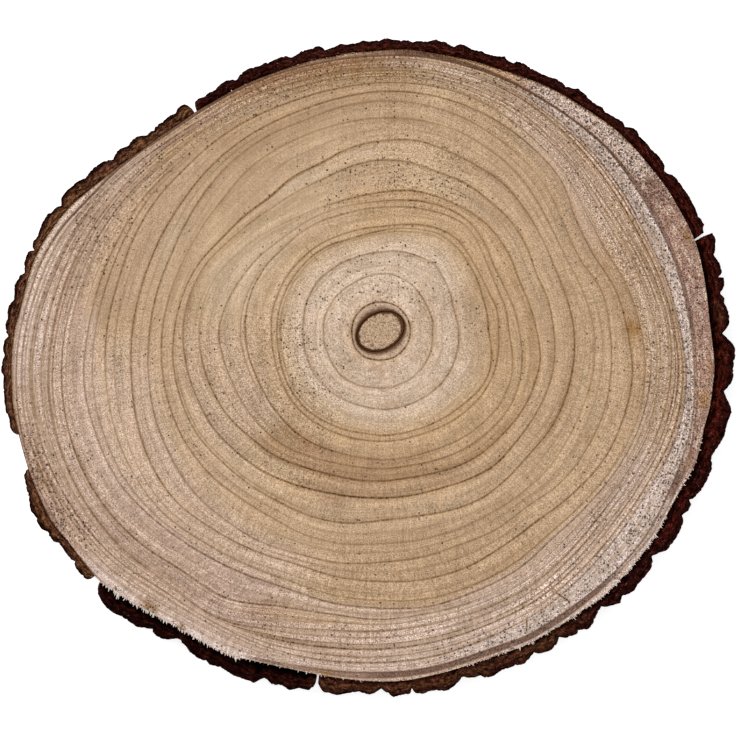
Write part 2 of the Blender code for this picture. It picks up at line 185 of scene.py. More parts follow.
# Finer rings: the ring inside, the share of the way to the next, line depth, from and to degrees
FINE_RINGS = [
    ("B", 0.38, 0.06, 0, 360), ("C", 0.87, 0.11, 60, 260), ("E", 0.18, 0.14, 158, 200),
    ("F", 0.5, 0.05, 150, 350), ("G", 0.55, 0.05, 250, 60), ("H", 0.82, 0.14, 198, 240),
    ("I", 0.5, 0.06, 190, 120), ("J", 0.45, 0.06, 220, 60), ("K", 0.5, 0.07, 120, 300),
    ("L", 0.65, 0.09, 170, 300), ("M", 0.6, 0.14, 155, 222), ("N", 0.5, 0.05, 0, 360),
    ("O", 0.48, 0.14, 235, 335), ("P", 0.2, 0.15, 240, 10), ("P", 0.4, 0.2, 165, 210),
    ("P", 0.4, 0.2, 250, 35), ("P", 0.45, 0.09, 212, 248), ("P", 0.57, 0.21, 250, 62),
    ("P", 0.81, 0.19, 250, 62), ("P", 0.5, 0.18, 62, 95), ("Q", 0.5, 0.18, 62, 128),
    ("O", 0.5, 0.2, 10, 95), ("N", 0.33, 0.17, 20, 95), ("M", 0.55, 0.1, 35, 95),
    ("N", 0.7, 0.07, 350, 20), ("Q", 0.36, 0.12, 150, 210), ("Q", 0.62, 0.13, 128, 212),
    ("Q", 0.2, 0.08, 212, 246), ("Q", 0.5, 0.1, 212, 246), ("Q", 0.8, 0.08, 205, 246),
    ("M", 0.55, 0.12, 140, 170), ("N", 0.32, 0.14, 140, 170), ("N", 0.8, 0.14, 145, 172),
    ("O", 0.3, 0.14, 140, 175), ("O", 0.68, 0.17, 140, 190), ("P", 0.86, 0.14, 140, 190),
]

# Stretches where a ring is stronger or weaker: ring, from and to degrees, line and shade factors
STRETCHES = [
    ("C", 180, 240, 0.6, 1.0), ("D", 82, 128, 1.3, 1.5), ("E", 150, 240, 1.5, 1.0),
    ("E", 50, 120, 0.7, 1.0), ("F", 98, 135, 0.4, 1.0), ("G", 118, 175, 0.4, 1.0),
    ("G", 240, 320, 1.1, 2.0), ("H", 238, 312, 1.6, 1.6), ("H", 120, 180, 0.7, 1.0),
    ("I", 105, 150, 1.2, 4.5), ("I", 240, 350, 1.2, 1.5), ("J", 180, 240, 1.6, 1.0),
    ("K", 10, 130, 0.7, 1.0), ("M", 335, 40, 0.7, 1.0), ("N", 0, 135, 0.35, 1.0),
    ("N", 240, 350, 1.3, 1.0), ("O", 5, 140, 0.5, 1.0), ("O", 180, 240, 1.3, 1.0),
    ("O", 300, 5, 0.35, 1.0), ("P", 30, 125, 0.6, 1.0), ("P", 330, 30, 0.4, 1.0),
    ("Q", 50, 125, 0.7, 0.0), ("Q", 0, 50, 1.2, 1.0), ("D2", 60, 120, 1.2, 1.0),
    ("E", 60, 120, 1.5, 1.0), ("F", 60, 120, 1.6, 1.0), ("M", 60, 180, 1.3, 1.0),
    ("D", 48, 80, 0.55, 1.0), ("band", 214, 247, 0.0, 1.0), ("band2", 214, 247, 0.0, 1.0),
    ("band", 36, 64, 1.6, 1.0), ("band", 130, 166, 1.6, 1.0), ("band", 262, 300, 1.4, 1.0),
    ("G", 0, 60, 0.8, 1.0), ("C", 0, 60, 0.8, 1.0), ("L", 0, 60, 0.85, 1.0), ("P", 214, 248, 0.95, 1.0),
    ("Q", 214, 248, 0.9, 1.0), ("Q", 250, 290, 1.4, 1.0),
]

# Tones of the wood: from and to ring, from and to degrees, softness in rings and in degrees, amount
TONES = {
    "light": [
        ("C", "D", 0, 360, 0.3, 1, 0.6), ("D", "D", 66, 84, 0.4, 6, 0.7),
        ("H", "I", 75, 125, 0.2, 8, 0.55), ("N", "N", 112, 150, 0.4, 6, 0.8),
        ("N", "N", 66, 84, 0.3, 5, 0.6), ("N", "O", 308, 5, 0.3, 8, 0.9),
        ("N", "O", 26, 50, 0.4, 8, 0.8), ("O", "Q", 38, 52, 0.3, 6, 0.8),
        ("D", "E", 110, 175, 0.4, 14, 0.55), ("E", "G", 110, 172, 0.3, 12, 0.8),
        ("G", "H", 110, 160, 0.3, 10, 0.8), ("M", "Q", 60, 118, 0.5, 8, 0.5),
        ("G", "I", 200, 232, 0.5, 8, 0.6), ("G", "H", 60, 78, 0.4, 6, 0.5),
        ("K", "K", 158, 170, 0.4, 5, 0.6),
    ],
    "cream": [
        ("hollow", "C", 0, 360, 0.85, 1, 1.0), ("E", "G", 122, 165, 0.3, 12, 0.3),
        ("C", "C", 270, 355, 0.6, 12, 0.4), ("N", "O", 26, 48, 0.3, 5, 0.55),
        ("O", "P", 40, 52, 0.3, 4, 0.6), ("O", "O", 66, 84, 0.3, 5, 0.35),
        ("O", "O", 110, 128, 0.3, 5, 0.6), ("N", "P", 112, 128, 0.4, 5, 0.75),
        ("P", "P", 355, 60, 0.4, 8, 0.3), ("N", "N", 312, 352, 0.4, 8, 0.65),
        ("N", "Q", 284, 300, 0.4, 6, 0.3), ("M", "P", 46, 58, 0.5, 5, 0.4),
    ],
    "gold": [
        ("D", "G", 250, 95, 0.3, 12, 0.6), ("D", "G", 95, 135, 0.3, 12, 0.25),
    ],
    "deep": [
        ("A", "B", 225, 285, 0.3, 12, 0.2), ("A", "B", 180, 225, 0.3, 12, 0.15),
        ("A", "A", 80, 320, 0.5, 12, 0.35), ("A", "B", 322, 25, 0.4, 12, 0.2),
        ("A", "A", 165, 195, 0.4, 10, 0.5), ("hollow", "A", 350, 12, 0.3, 8, 0.5),
        ("C", "D2", 345, 25, 0.3, 10, 0.35), ("B", "B", 325, 45, 0.5, 12, 0.3),
        ("D2", "E", 350, 14, 0.2, 6, 0.4), ("E", "G", 225, 290, 0.5, 8, 0.75),
        ("F", "G", 290, 322, 0.3, 8, 0.45), ("F", "G", 5, 25, 0.3, 8, 0.3),
        ("G", "H", 246, 296, 0.4, 8, 0.5), ("G", "G", 300, 350, 0.5, 10, 0.4),
        ("H", "H", 138, 205, 0.5, 8, 0.45), ("H", "H", 310, 355, 0.5, 10, 0.4),
        ("I", "I", 330, 12, 0.6, 10, 0.5), ("I", "I", 40, 65, 0.5, 8, 0.35),
        ("K", "M", 8, 70, 0.3, 6, 0.25), ("L", "M", 345, 30, 0.4, 8, 0.45),
        ("L", "N", 140, 175, 0.2, 8, 0.5), ("O", "P", 215, 248, 0.4, 8, 0.85),
        ("L", "L", 188, 203, 0.5, 5, 0.5), ("M", "N", 232, 248, 0.4, 6, 0.4),
        ("P", "Q", 158, 174, 0.3, 5, 0.4), ("O", "P", 172, 205, 0.3, 8, 0.35),
        ("P", "Q", 128, 142, 0.3, 6, 0.9), ("J", "N", 262, 305, 0.8, 10, 0.3),
        ("K", "edge", 85, 128, 1.6, 8, 0.5),
    ],
    "pink": [
        ("L", "O", 140, 172, 0.4, 8, 0.15), ("L", "N", 25, 50, 0.4, 8, 0.35),
        ("M", "Q", 34, 56, 0.5, 6, 0.35), ("E", "H", 185, 215, 0.5, 12, 0.3),
        ("K", "N", 192, 245, 0.6, 16, 0.45), ("N", "edge", 180, 240, 0.8, 8, 0.75),
        ("N", "edge", 292, 330, 0.8, 8, 0.7), ("P", "edge", 240, 292, 0.9, 8, 0.75),
        ("N", "O", 240, 292, 0.5, 8, 0.6), ("N", "Q", 330, 75, 0.6, 10, 0.45),
        ("Q", "edge", 330, 56, 0.1, 8, 0.75), ("H", "K", 195, 225, 0.8, 12, 0.15),
        ("O", "edge", 148, 180, 0.8, 8, 0.65), ("P", "edge", 128, 148, 0.8, 8, 0.5),
    ],
    "pale": [
        ("Q", "band", 290, 50, 0.04, 12, 0.85), ("Q", "edge", 144, 185, 0.6, 6, 0.42),
        ("band", "edge", 219, 247, 0.6, 4, 0.6), ("O", "Q", 275, 335, 0.3, 8, 0.25),
        ("Q", "band", 250, 290, 0.5, 8, 0.3), ("band2", "edge", 30, 57, 0.1, 4, 0.4),
        ("P", "Q", 60, 88, 0.3, 5, 0.2), ("Q", "band", 58, 88, 0.1, 5, 0.2),
        ("band2", "edge", 294, 340, 0.1, 5, 0.6), ("band2", "edge", 128, 146, 0.1, 4, 0.5),
        ("band2", "edge", 90, 124, 0.1, 4, 0.4),
    ],
    "rust": [
        ("band2", "edge", 57, 88, 0.2, 3, 0.4), ("P", "Q", 88, 118, 0.3, 6, 0.4),
        ("Q", "band", 84, 120, 0.15, 5, 0.5), ("band", "band2", 36, 125, 0.1, 6, 0.9),
        ("band", "band2", 130, 166, 0.1, 4, 0.4), ("band", "band2", 264, 338, 0.1, 4, 0.5),
        ("band2", "edge", 338, 2, 0.1, 5, 0.2),
    ],
    "mauve": [
        ("P", "Q", 130, 142, 0.3, 5, 0.4), ("P", "Q", 158, 172, 0.4, 5, 0.3),
        ("N", "P", 218, 246, 0.5, 8, 0.25), ("Q", "edge", 196, 214, 0.3, 4, 0.3),
        ("band", "edge", 204, 219, 0.3, 4, 0.4), ("band2", "edge", 262, 294, 0.1, 4, 0.3),
        ("band2", "edge", 249, 259, 0.1, 3, 0.6), ("M", "N", 345, 20, 0.3, 8, 0.2),
        ("band2", "edge", 335, 27, 0.1, 6, 1.0),
    ],
    "pores": [
        ("Q", "band", 335, 62, 0.1, 12, 1.0), ("Q", "band", 285, 335, 0.2, 12, 0.6),
        ("band2", "edge", 26, 60, 0.1, 4, 1.2), ("band2", "edge", 335, 26, 0.1, 6, 0.4),
        ("Q", "edge", 197, 214, 0.4, 3, 0.8), ("C", "D", 175, 225, 0.3, 10, 0.4),
        ("A", "C", 20, 160, 0.5, 20, 0.15), ("M", "Q", 55, 125, 1.0, 10, 0.25),
        ("N", "Q", 135, 165, 1.0, 6, 0.3), ("G", "H", 60, 110, 0.4, 10, 0.3),
    ],
    "rough": [
        ("C", "H", 178, 240, 0.8, 12, 0.5), ("E", "I", 62, 112, 0.8, 10, 0.4),
        ("N", "edge", 350, 125, 1.5, 12, 1.0), ("O", "edge", 130, 200, 1.5, 10, 0.4),
        ("O", "edge", 200, 250, 1.0, 10, 0.2), ("P", "edge", 250, 300, 1.0, 10, 0.6),
        ("O", "edge", 300, 350, 1.0, 10, 0.8),
    ],
    "smooth": [
        ("E", "N", 100, 172, 0.8, 14, 1.0),
    ],
}

# Scratches and cracks: both ends from the reading point, half width, depth
SCRATCHES = [
    (-63, 121, -50, 106, 0.6, 0.28), (-28, 66, -21, 61, 0.6, 0.2), (-25, 68, -18, 63, 0.5, 0.15),
    (186, -224, 201, -234, 0.9, 0.5), (181, -217, 188, -224, 0.7, 0.3), (158.7, -250, 158, -264, 0.7, 0.35),
]

# Columns of pores that the saw opened: both ends from the reading point, half width, amount
PORE_COLUMNS = [
    (30, 63, 30, 113, 0.8, 1.5), (23, 60, 23, 113, 0.8, 1.1), (26, 183, 26, 203, 0.8, 1.6),
    (9.5, 180, 9.5, 203, 0.8, 1.4), (26, 130, 26, 270, 0.7, 0.7),
]

# Clusters of pores: place from the reading point, reach, amount
PORE_CLUSTERS = [
    (233, -201, 11, 1.1), (265, -165, 13, 1.2), (250, -206, 7, 1.0), (229, -153, 9, 0.8),
    (183, -242, 8, 0.9), (191, -225, 8, 0.6), (329, -57, 7, 1.1), (312, -67, 8, 0.9),
    (-218, -241, 8, 1.2), (-188, -260, 5, 1.2), (-253, -220, 5, 0.8), (22, 188, 8, 0.7),
    (-278, 173, 10, 0.7), (-295, 160, 7, 0.6), (-149, -13, 8, 0.6), (213, 245, 12, 1.0),
    (230, 242, 9, 1.0), (247, 56, 7, 0.5), (-66, -2, 14, 0.5), (98, 53, 14, 0.4), (-26, 4, 7, 0.6),
    (10, 70, 8, 0.5), (-52, 22, 10, 0.4),
]
MASKS = (*TONES, "stain")

# Smudges along the rings: tone, degrees and radius about the pith, reach along and across the radius, amount
SMUDGES = [
    ("rust", 254, 176, 5, 13, 0.6), ("rust", 263, 169, 4, 22, 0.45), ("rust", 251, 153, 4, 13, 0.4),
    ("rust", 238, 135, 6, 22, 0.55), ("rust", 302, 157, 4, 16, 0.3), ("rust", 140, 224, 3, 6, 0.5),
    ("cream", 96, 178, 5, 14, 0.5), ("cream", 156, 229, 6, 20, 0.4), ("cream", 118, 168, 5, 34, 0.45),
]

# Stains: degrees and radius about the reading point, reach along and across the radius, amount
STAINS = [
    (8.2, 266, 8, 10, 1.2), (46, 310, 4, 4, 1.0), (22.5, 343.5, 2.5, 8, 1.0), (0, 341, 4, 7, 0.6),
    (354.5, 337, 6, 8, 1.0), (343, 330, 5, 6, 0.7), (262.5, 308, 4, 9, 1.2), (227.5, 325, 6, 10, 1.1),
    (234.5, 322, 4, 4, 1.1), (199, 345, 5, 16, 0.5), (10, 165, 7, 15, 0.3), (337, 322, 4, 6, 0.5),
    (92.3, 299, 15, 5, 0.55), (96.5, 299, 13, 6, 0.4), (87.5, 301, 12, 4, 0.5), (83, 304, 10, 4, 0.35),
    (100.5, 296, 12, 7, 0.3), (318, 296, 8, 4, 0.2),
]

# Bark: the knobbly outer edge of each piece, between the breaks
BARK_TOP = [
    (21.9, 360), (22.7, 361), (23, 364), (24, 363), (24.8, 361.5), (26, 362.3),
    (28, 362.5), (29.3, 361.3), (31.5, 360.5), (32.3, 359.5), (33, 355), (33.6, 354),
    (34, 357), (35, 358), (36.5, 358), (37.6, 356), (38.7, 356.5), (40.3, 355.5),
    (41.5, 357.3), (42.3, 356), (43.3, 350.3), (43.6, 352.7), (44.3, 353), (45.5, 350.3),
    (47.5, 347.7), (48, 349.3), (48.9, 347.5), (50.7, 347), (51.3, 348), (53.1, 348.5),
    (53.5, 346.2), (55, 343), (55.8, 344.3), (57, 344), (58.2, 341.7), (60, 340.5),
    (61.5, 340.5), (63.2, 341.5), (64.2, 340), (64.6, 336.7), (65.9, 337.3),
    (66.3, 339.8), (67.5, 337), (69.5, 334.8), (70, 336), (72, 334.5), (73.4, 336.7),
    (74.2, 336), (75.4, 331.7), (76.1, 333.5), (76.8, 334.7), (77.5, 333.7), (78.3, 335),
    (79.8, 331.3), (81.7, 330), (82.3, 327.8), (83, 329.8), (84.8, 328.5), (87.2, 330),
    (87.8, 327.5), (90, 326), (91.1, 327), (91.6, 325), (94, 323.5), (94.9, 325),
    (96.3, 322), (97.7, 320.3), (98.3, 324), (99, 326), (100, 324), (102, 323.8),
    (102.5, 322), (104, 319), (104.8, 322.5), (105.5, 322.7), (107, 321.7),
    (108.2, 320.7), (108.8, 322), (109.7, 320.3), (111.7, 322.3), (113.6, 320.3),
    (114.6, 316.3), (115.3, 318.7), (116.5, 320.7), (117.7, 319.7), (119.3, 317),
    (120.2, 318), (121.3, 316.7), (122.2, 318.3), (123.2, 317.3), (123.6, 313),
]
BARK_LEFT = [
    (124.3, 313), (124.7, 320.5), (125.3, 322), (126.3, 322.3), (127.3, 319.3),
    (128.2, 320.7), (130, 320.9), (131.5, 321.5), (132.1, 319.7), (132.9, 321.5),
    (133.6, 320.7), (135, 327), (136.3, 328.3), (137.3, 327), (138.6, 331),
    (139.3, 331.7), (141, 329.7), (141.4, 332.8), (142.2, 336), (144.3, 340.3),
    (146.2, 340.5), (146.8, 343.3), (147.7, 346), (149, 348.5), (150, 350.5),
    (151.3, 350.7), (152.2, 347), (152.9, 351.5), (153.7, 352.3), (154.4, 355.7),
    (156, 357), (157.3, 356.7), (158.3, 356), (159.3, 358.3), (160.2, 357.5),
    (160.7, 355), (161.2, 359.7), (163, 360), (164.7, 356.3), (165.1, 360.3),
    (167, 363.5), (168.1, 361.7), (169.3, 361.3), (170, 365.3), (171.3, 365.3),
    (172, 364.3), (173.3, 366), (174.4, 364.8), (175, 361), (175.5, 364.7),
    (176.7, 366.5), (177.6, 365.5), (178, 363.7), (179, 366.7), (180.7, 367.5),
    (181.2, 365), (182.7, 365.7), (185.3, 365.7), (187.2, 365.2), (187.8, 363),
    (189.5, 363.3), (190.3, 361.7), (190.7, 359),
]
BARK_LOWER_LEFT = [
    (196.7, 357.7), (197.3, 361), (199.3, 362.7), (200.7, 363.5), (202.3, 366),
    (203.1, 366.7), (204, 365), (205.3, 365.5), (206.4, 364.3), (207.2, 360),
    (207.7, 361), (209, 359.7), (209.5, 356.3), (211, 355), (212.7, 354.5), (213.3, 352),
    (214.2, 355), (216.3, 354.3), (217, 352.5), (217.3, 349),
]
BARK_BOTTOM = [
    (218.7, 346), (219.3, 350.3), (219.8, 353), (221.3, 355), (222.6, 356), (224, 354),
    (225.2, 350.8), (227, 349), (228.3, 348), (229, 345), (230.3, 340), (230.8, 341.7),
    (231.4, 342.5), (232.7, 341.3), (233.8, 337.7), (234.7, 332.3), (235.2, 331.3),
    (235.9, 333.3), (236.7, 333.3), (238, 336.7), (240, 337), (241.3, 335.5),
    (241.8, 337), (244, 334.3), (246.4, 336.3), (248.8, 335.5), (250, 335.7),
    (250.9, 330.3), (251.5, 327), (252.3, 329), (253.2, 331.5), (254.3, 329.3),
    (255.2, 330), (256.2, 332), (257.7, 328), (259.6, 327.7), (260.2, 324),
    (260.5, 319.5),
]
BARK_RIGHT = [
    (260.9, 319), (261.3, 322), (261.8, 326.7), (263.7, 327.7), (264.5, 328.5),
    (266.3, 326), (268.2, 323.3), (270, 326.5), (271.3, 324.3), (272.2, 320.3),
    (272.7, 322.7), (273.4, 325.5), (274.3, 330), (276, 328), (277.3, 328),
    (277.7, 322.7), (278.1, 328), (279.6, 329.7), (280.8, 328.2), (282.2, 329.3),
    (282.9, 331), (284, 331), (285.3, 328.3), (287, 322.3), (288, 325.3), (289, 326.7),
    (290, 326.3), (290.6, 330.7), (292, 332), (293.4, 329.7), (296.2, 331),
    (297.5, 333.8), (298.8, 331.7), (300, 328.7), (301, 332.7), (303, 335.5),
    (304.3, 333.3), (305.3, 328.7), (306, 333.5), (308.1, 337.3), (308.6, 335),
    (310, 341), (311.3, 339.3), (312.8, 335.3), (314.2, 332.3), (315, 337.3),
    (317, 344), (318, 339.7), (318.6, 342.7), (320, 346), (321, 344.7), (324.5, 346),
    (325.7, 343), (326.3, 339.3), (327.5, 343.7), (328.4, 348.8), (329.8, 350),
    (332, 351), (333.9, 349.5), (335, 345.5), (335.8, 349.5), (337.1, 349.4),
    (337.6, 345.3), (338.1, 350), (339, 351), (339.8, 353.8), (342, 356.2),
    (343.7, 357), (345.5, 353), (347, 357), (349, 361.3), (351.3, 362), (353, 365),
    (354.1, 362.5), (355, 358.3), (356.2, 355), (357.3, 361.3), (358.7, 364.3),
    (360, 363.7), (362, 366), (363, 366), (364, 363), (365.5, 354.5), (366.5, 361),
    (367.2, 363), (368.7, 363.5), (370.3, 360.5), (371, 362), (372, 358), (372.7, 363.5),
    (374.2, 365.5), (374.5, 360.5), (375, 365), (376.5, 365.5), (377.9, 362),
    (378.8, 365), (380.3, 369), (381.4, 368.5),
]

# Each piece of bark: outer edge, the two ends of its inner face, how far its upper face lies under
# the wood's at the inner face, in the middle and at the outer edge, and its finish
BARK_PIECES = {
    "bark_top": (BARK_TOP, (21.45, 123.85), (0.0016, 0.0008, 0.0018), "bark"),
    "bark_left": (BARK_LEFT, (124.35, 190.9), (0.0008, 0.0006, 0.0020), "left_bark"),
    "bark_lower_left": (BARK_LOWER_LEFT, (196.6, 217.15), (0.0008, 0.0006, 0.0018), "left_bark"),
    "bark_bottom": (BARK_BOTTOM, (218.55, 260.55), (0.0060, 0.0022, 0.0034), "bark"),
    "bark_right": (BARK_RIGHT, (260.85, 381.1), (0.0040, 0.0014, 0.0030), "bark"),
}

# Bark: its gap to the wood, its foot above the floor, how far it stands past its outline, and its mesh
BARK_GAP = 0.00012
BARK_FOOT = 0.0008
BARK_FOOT_OUTER = 0.0018
BARK_SPREAD = 0.6
BARK_RIGHT_SPREAD = 1.3
BARK_RIGHT_ARC = (290, 15, 60)
BARK_COLUMN = 0.3
BARK_ROWS_ACROSS = 10
BARK_ROWS_UP = 16

# Tones of the bark: from and to degrees, share of the way out, its reach, and how brown, red and ochre
BARK_TONES = [
    (259, 302, 0.5, 1.2, 0.95, 0.0, 0.0), (302, 312, 0.5, 1.2, 0.45, 0.0, 0.0),
    (251, 259, 0.8, 0.4, 0.25, 0.3, 0.0), (80, 106, 0.4, 0.9, 0.22, 0.1, 0.0),
    (352, 367, 0.5, 0.3, 0.0, 0.8, 0.0), (368, 381, 0.6, 0.35, 0.0, 0.6, 0.0),
    (330, 338, 0.5, 0.3, 0.0, 0.6, 0.0), (20, 40, 0.7, 0.5, 0.0, 0.5, 0.0),
    (261, 266, 0.8, 0.3, 0.0, 0.0, 0.8), (272, 285, 0.45, 0.18, 0.0, 0.2, 0.5),
    (287, 291, 0.8, 0.3, 0.0, 0.0, 0.8), (298, 306, 0.7, 0.4, 0.0, 0.1, 0.6),
    (368, 370, 0.6, 0.3, 0.0, 0.4, 0.4), (124, 127, 0.5, 0.5, 0.0, 0.0, 0.6),
    (133, 137, 0.7, 0.4, 0.0, 0.0, 0.6), (149, 164, 0.4, 0.4, 0.0, 0.0, 0.6),
    (38, 92, 0.6, 0.6, 0.14, 0.2, 0.0), (265, 290, 0.75, 0.22, 0.0, 0.1, 0.55),
    (196, 212, 0.85, 0.4, 0.3, 0.0, 0.25), (344, 350, 0.5, 0.3, 0.0, 0.7, 0.0),
    (201, 206, 0.5, 0.4, 0.0, 0.1, 0.6), (213, 216, 0.6, 0.4, 0.0, 0.1, 0.7),
]

# Shadow on the bark next to the wood: from and to degrees, share of the way out, amount
BARK_SHADOWS = [
    (22, 78, 0.3, 0.28), (78, 108, 0.25, 0.12), (108, 123, 0.2, 0.45), (124, 191, 0.06, 0.5),
    (196, 217, 0.06, 0.5), (219, 246, 0.36, 0.75), (219, 260, 1.5, 0.32), (247.5, 260.5, 0.42, 1.0),
    (264, 300, 0.1, 0.35), (306, 339, 0.16, 0.45), (340, 352, 0.3, 0.4), (354, 0, 0.25, 0.25),
    (3, 20, 0.34, 0.62),
]

# Relief of the bark: how far its face draws in at each level, and the reach and depth of its marks
BARK_RADIUS = 340.0
BARK_LEVELS = (0.0, 1 / 3, 2 / 3, 1.0)
BARK_HOLLOW = (0.30, 0.10, 0.02, 0.0)
BARK_SWING = (0.14, 0.10, 0.02, 0.0)
CRACK_REACH = (9.0, 38.0)
CRACK_WIDTH = 0.22
CRACK_DEPTH = 0.8
FLAKE_REACH = (3.2, 7.0)
FLAKE_DEPTH = 0.25
NICK_REACH = 2.3
NICK_DEPTH = 0.0008
LUMP_REACH = (9.0, 3.5)
LUMP_HEIGHT = 0.45
BARK_DIP = 0.0004

# The sawn wood: its mesh, its rounded edge, the ledge in its hollow, and how its face sinks and waves
THICKNESS = WOOD_BOX[1].z - WOOD_BOX[0].z
COLUMNS = 360
ROW_STEP = 6.5
SIDE_ROWS = 12
WALL_ROWS = 8
LEAST_RING = 0.7
FAR_RADIUS = 500.0
HALVINGS = 32
FAR_GAP = 50.0
EDGE_ROUND = 0.00035
EDGE_BULGE = 0.4
LEDGE_WIDTH = 1.5
LEDGE_HEIGHT = 0.0006
DISH_DEPTH = 0.0013
DISH_AGE = 1.1
WAVE_DEPTH = 0.00012
WAVE_REACH = 45.0
SHARP_ANGLE = 40.0

# How softly the lines, the stretches and the gaps of the band end, in degrees
FINE_RING_SOFT = 12.0
STRETCH_SOFT = 14.0
BAND_GAP_SOFT = 5.0

# Where painted shadow darkens the edge of the wood, how far the painted shade of the dish reaches, and the
# side of the dish that the light reaches
BRINK_ARC = (38, 220, 4.0)
LIT_DISH_ARC = (28, 48, 14.0)
LIT_DISH = 0.5
SHADED_DISH_AGE = 0.85

# The plug of pith: its mesh, the groove round it, and its crumbs
PLUG_COLUMNS = 144
PLUG_WALL_ROWS = 8
PLUG_FACE_ROWS = 16
PLUG_FOOT_SHARES = (0.0, 0.3, 0.62)
PLUG_GAP = 0.00012
PLUG_GROOVE = 0.0009
PLUG_FOOT = 0.0010
PLUG_FOOT_ROUND = 0.0012
PLUG_WAIST = 0.010
PLUG_LIP = 0.0004
PLUG_TAPER = 0.005
PLUG_CROWN = 0.0003
PLUG_RAGGED = 0.045
PLUG_GRAIN = 0.0004
# Depths under the top between which the pith turns to the painted shade of the groove
GROOVE_SHADE = (0.0013, 0.0018)

# Torn fibres: from and to degrees, step, length and lean, and then the longer ones at their degrees
FIBRE_ARCS = [
    (218.5, 246.5, 0.09, 0.64, 38), (247, 276, 0.6, 0.40, 10), (288, 334, 0.20, 0.45, 0),
    (334, 351, 0.8, 0.4, 0), (92, 124, 1.6, 0.2, 0),
]
LONG_FIBRES = [
    (220, 4.05, 30), (221.3, 3.15, 30), (223.4, 3.6, 30), (225, 3.15, 30), (228.5, 4.05, 30),
    (231, 3.6, 30), (233.2, 2.7, 30), (234.3, 3.6, 30), (235.3, 3.15, 30), (236.5, 4.05, 30),
    (238, 3.15, 30), (240.3, 4.05, 30), (241.2, 3.15, 30), (242.2, 3.6, 30), (243.2, 2.7, 30),
    (245.3, 3.15, 30), (341.7, 1.8, 0), (342.7, 1.35, 0),
]
FIBRE_SEED = 7
FIBRE_SIDES = 5
FIBRE_ROOT = 3.0
FIBRE_CLUMPS = 0.9
FIBRE_WIDTH = 1.7
FIBRE_WIDTH_SPREAD = 1.6
FIBRE_TIP = 0.08
FIBRE_FLATNESS = 0.35
FIBRE_SWAY = 26.0
FIBRE_DIP = (2, 9)
FIBRE_DROP = (0.0003, 0.0009)

# Finish of the bark: the colour of its streaks, how dark its rim is, and its shades of red, green and blue
BARK_STREAKS = {"bark": "red", "left_bark": "ochre"}
RIM_SHADE = {"bark": 0.24, "left_bark": 0.50}
BARK_POWERS = (2.0, 2.35, 2.6)

# Noise in the materials, in steps per metre
FINE_SCALE = 2100.0
GRIT_SCALE = 900.0
COARSE_SCALE = 330.0
BLOTCH_SCALE = 95.0

# Shader widths in units, and depths in metres
LINE_WIDTH = 0.90
LINE_STRENGTH = 1.17
LINE_HALO = 0.08
LINE_TINT = (0.86, 1.03, 1.28)
SEEN_POWER = 2.2
SHADE_REACH = 5.0
SMALL_PORE = (2.3, 0.40)
LARGE_PORE = (4.6, 0.24)
WOOD_BUMP = 0.00012
PITH_BUMP = 0.0003
BARK_BUMP = 0.0006

# Stage and camera, straight above the slice
FLOOR_SIZE = 8.0
FLOOR_GREY = 0.93
FLOOR_GLOW = 0.5
WORLD_LIGHT = 0.90
STAGE_LIGHT = 1.15
LAMP_SIZE = 1.2
LAMP_POWER = 17.0
LAMP_PLACE = (-0.9, 0.9, 1.9)
CAMERA_SENSOR = 36.0
CAMERA_DISTANCE = 2.0
CAMERA_PLACE = (0.35, -0.77)
CAMERA_REACH = 10.0
PICTURE_WIDTH = 736 * UNIT


def seen(red, green, blue):
    """The linear colour whose lit surface looks like this, in steps of 255."""
    steps = np.array([red, green, blue]) / 255.0
    linear = np.where(steps <= 0.04045, steps / 12.92, ((steps + 0.055) / 1.055) ** 2.4)
    return tuple(float(value) / STAGE_LIGHT for value in linear)


def colour_property(name, description, default):
    return bpy.props.FloatVectorProperty(
        name=name, description=description, default=default, size=3, subtype="COLOR", min=0.0, max=1.0,
    )


class SliceSizes(bpy.types.PropertyGroup):
    """Sizes of the slice that its CAD leaves open"""

    dish: bpy.props.FloatProperty(
        name="Dish", description="How far the wood sinks towards the pith",
        default=DISH_DEPTH, min=0.0, max=0.004, subtype="DISTANCE", unit="LENGTH",
    )
    groove: bpy.props.FloatProperty(
        name="Groove", description="Depth of the groove round the pith",
        default=PLUG_GROOVE, min=0.001, max=0.012, subtype="DISTANCE", unit="LENGTH",
    )
    bark_relief: bpy.props.FloatProperty(
        name="Bark Relief", description="Depth of the cracks and knobs of the bark",
        default=0.0011, min=0.0, max=0.003, subtype="DISTANCE", unit="LENGTH",
    )


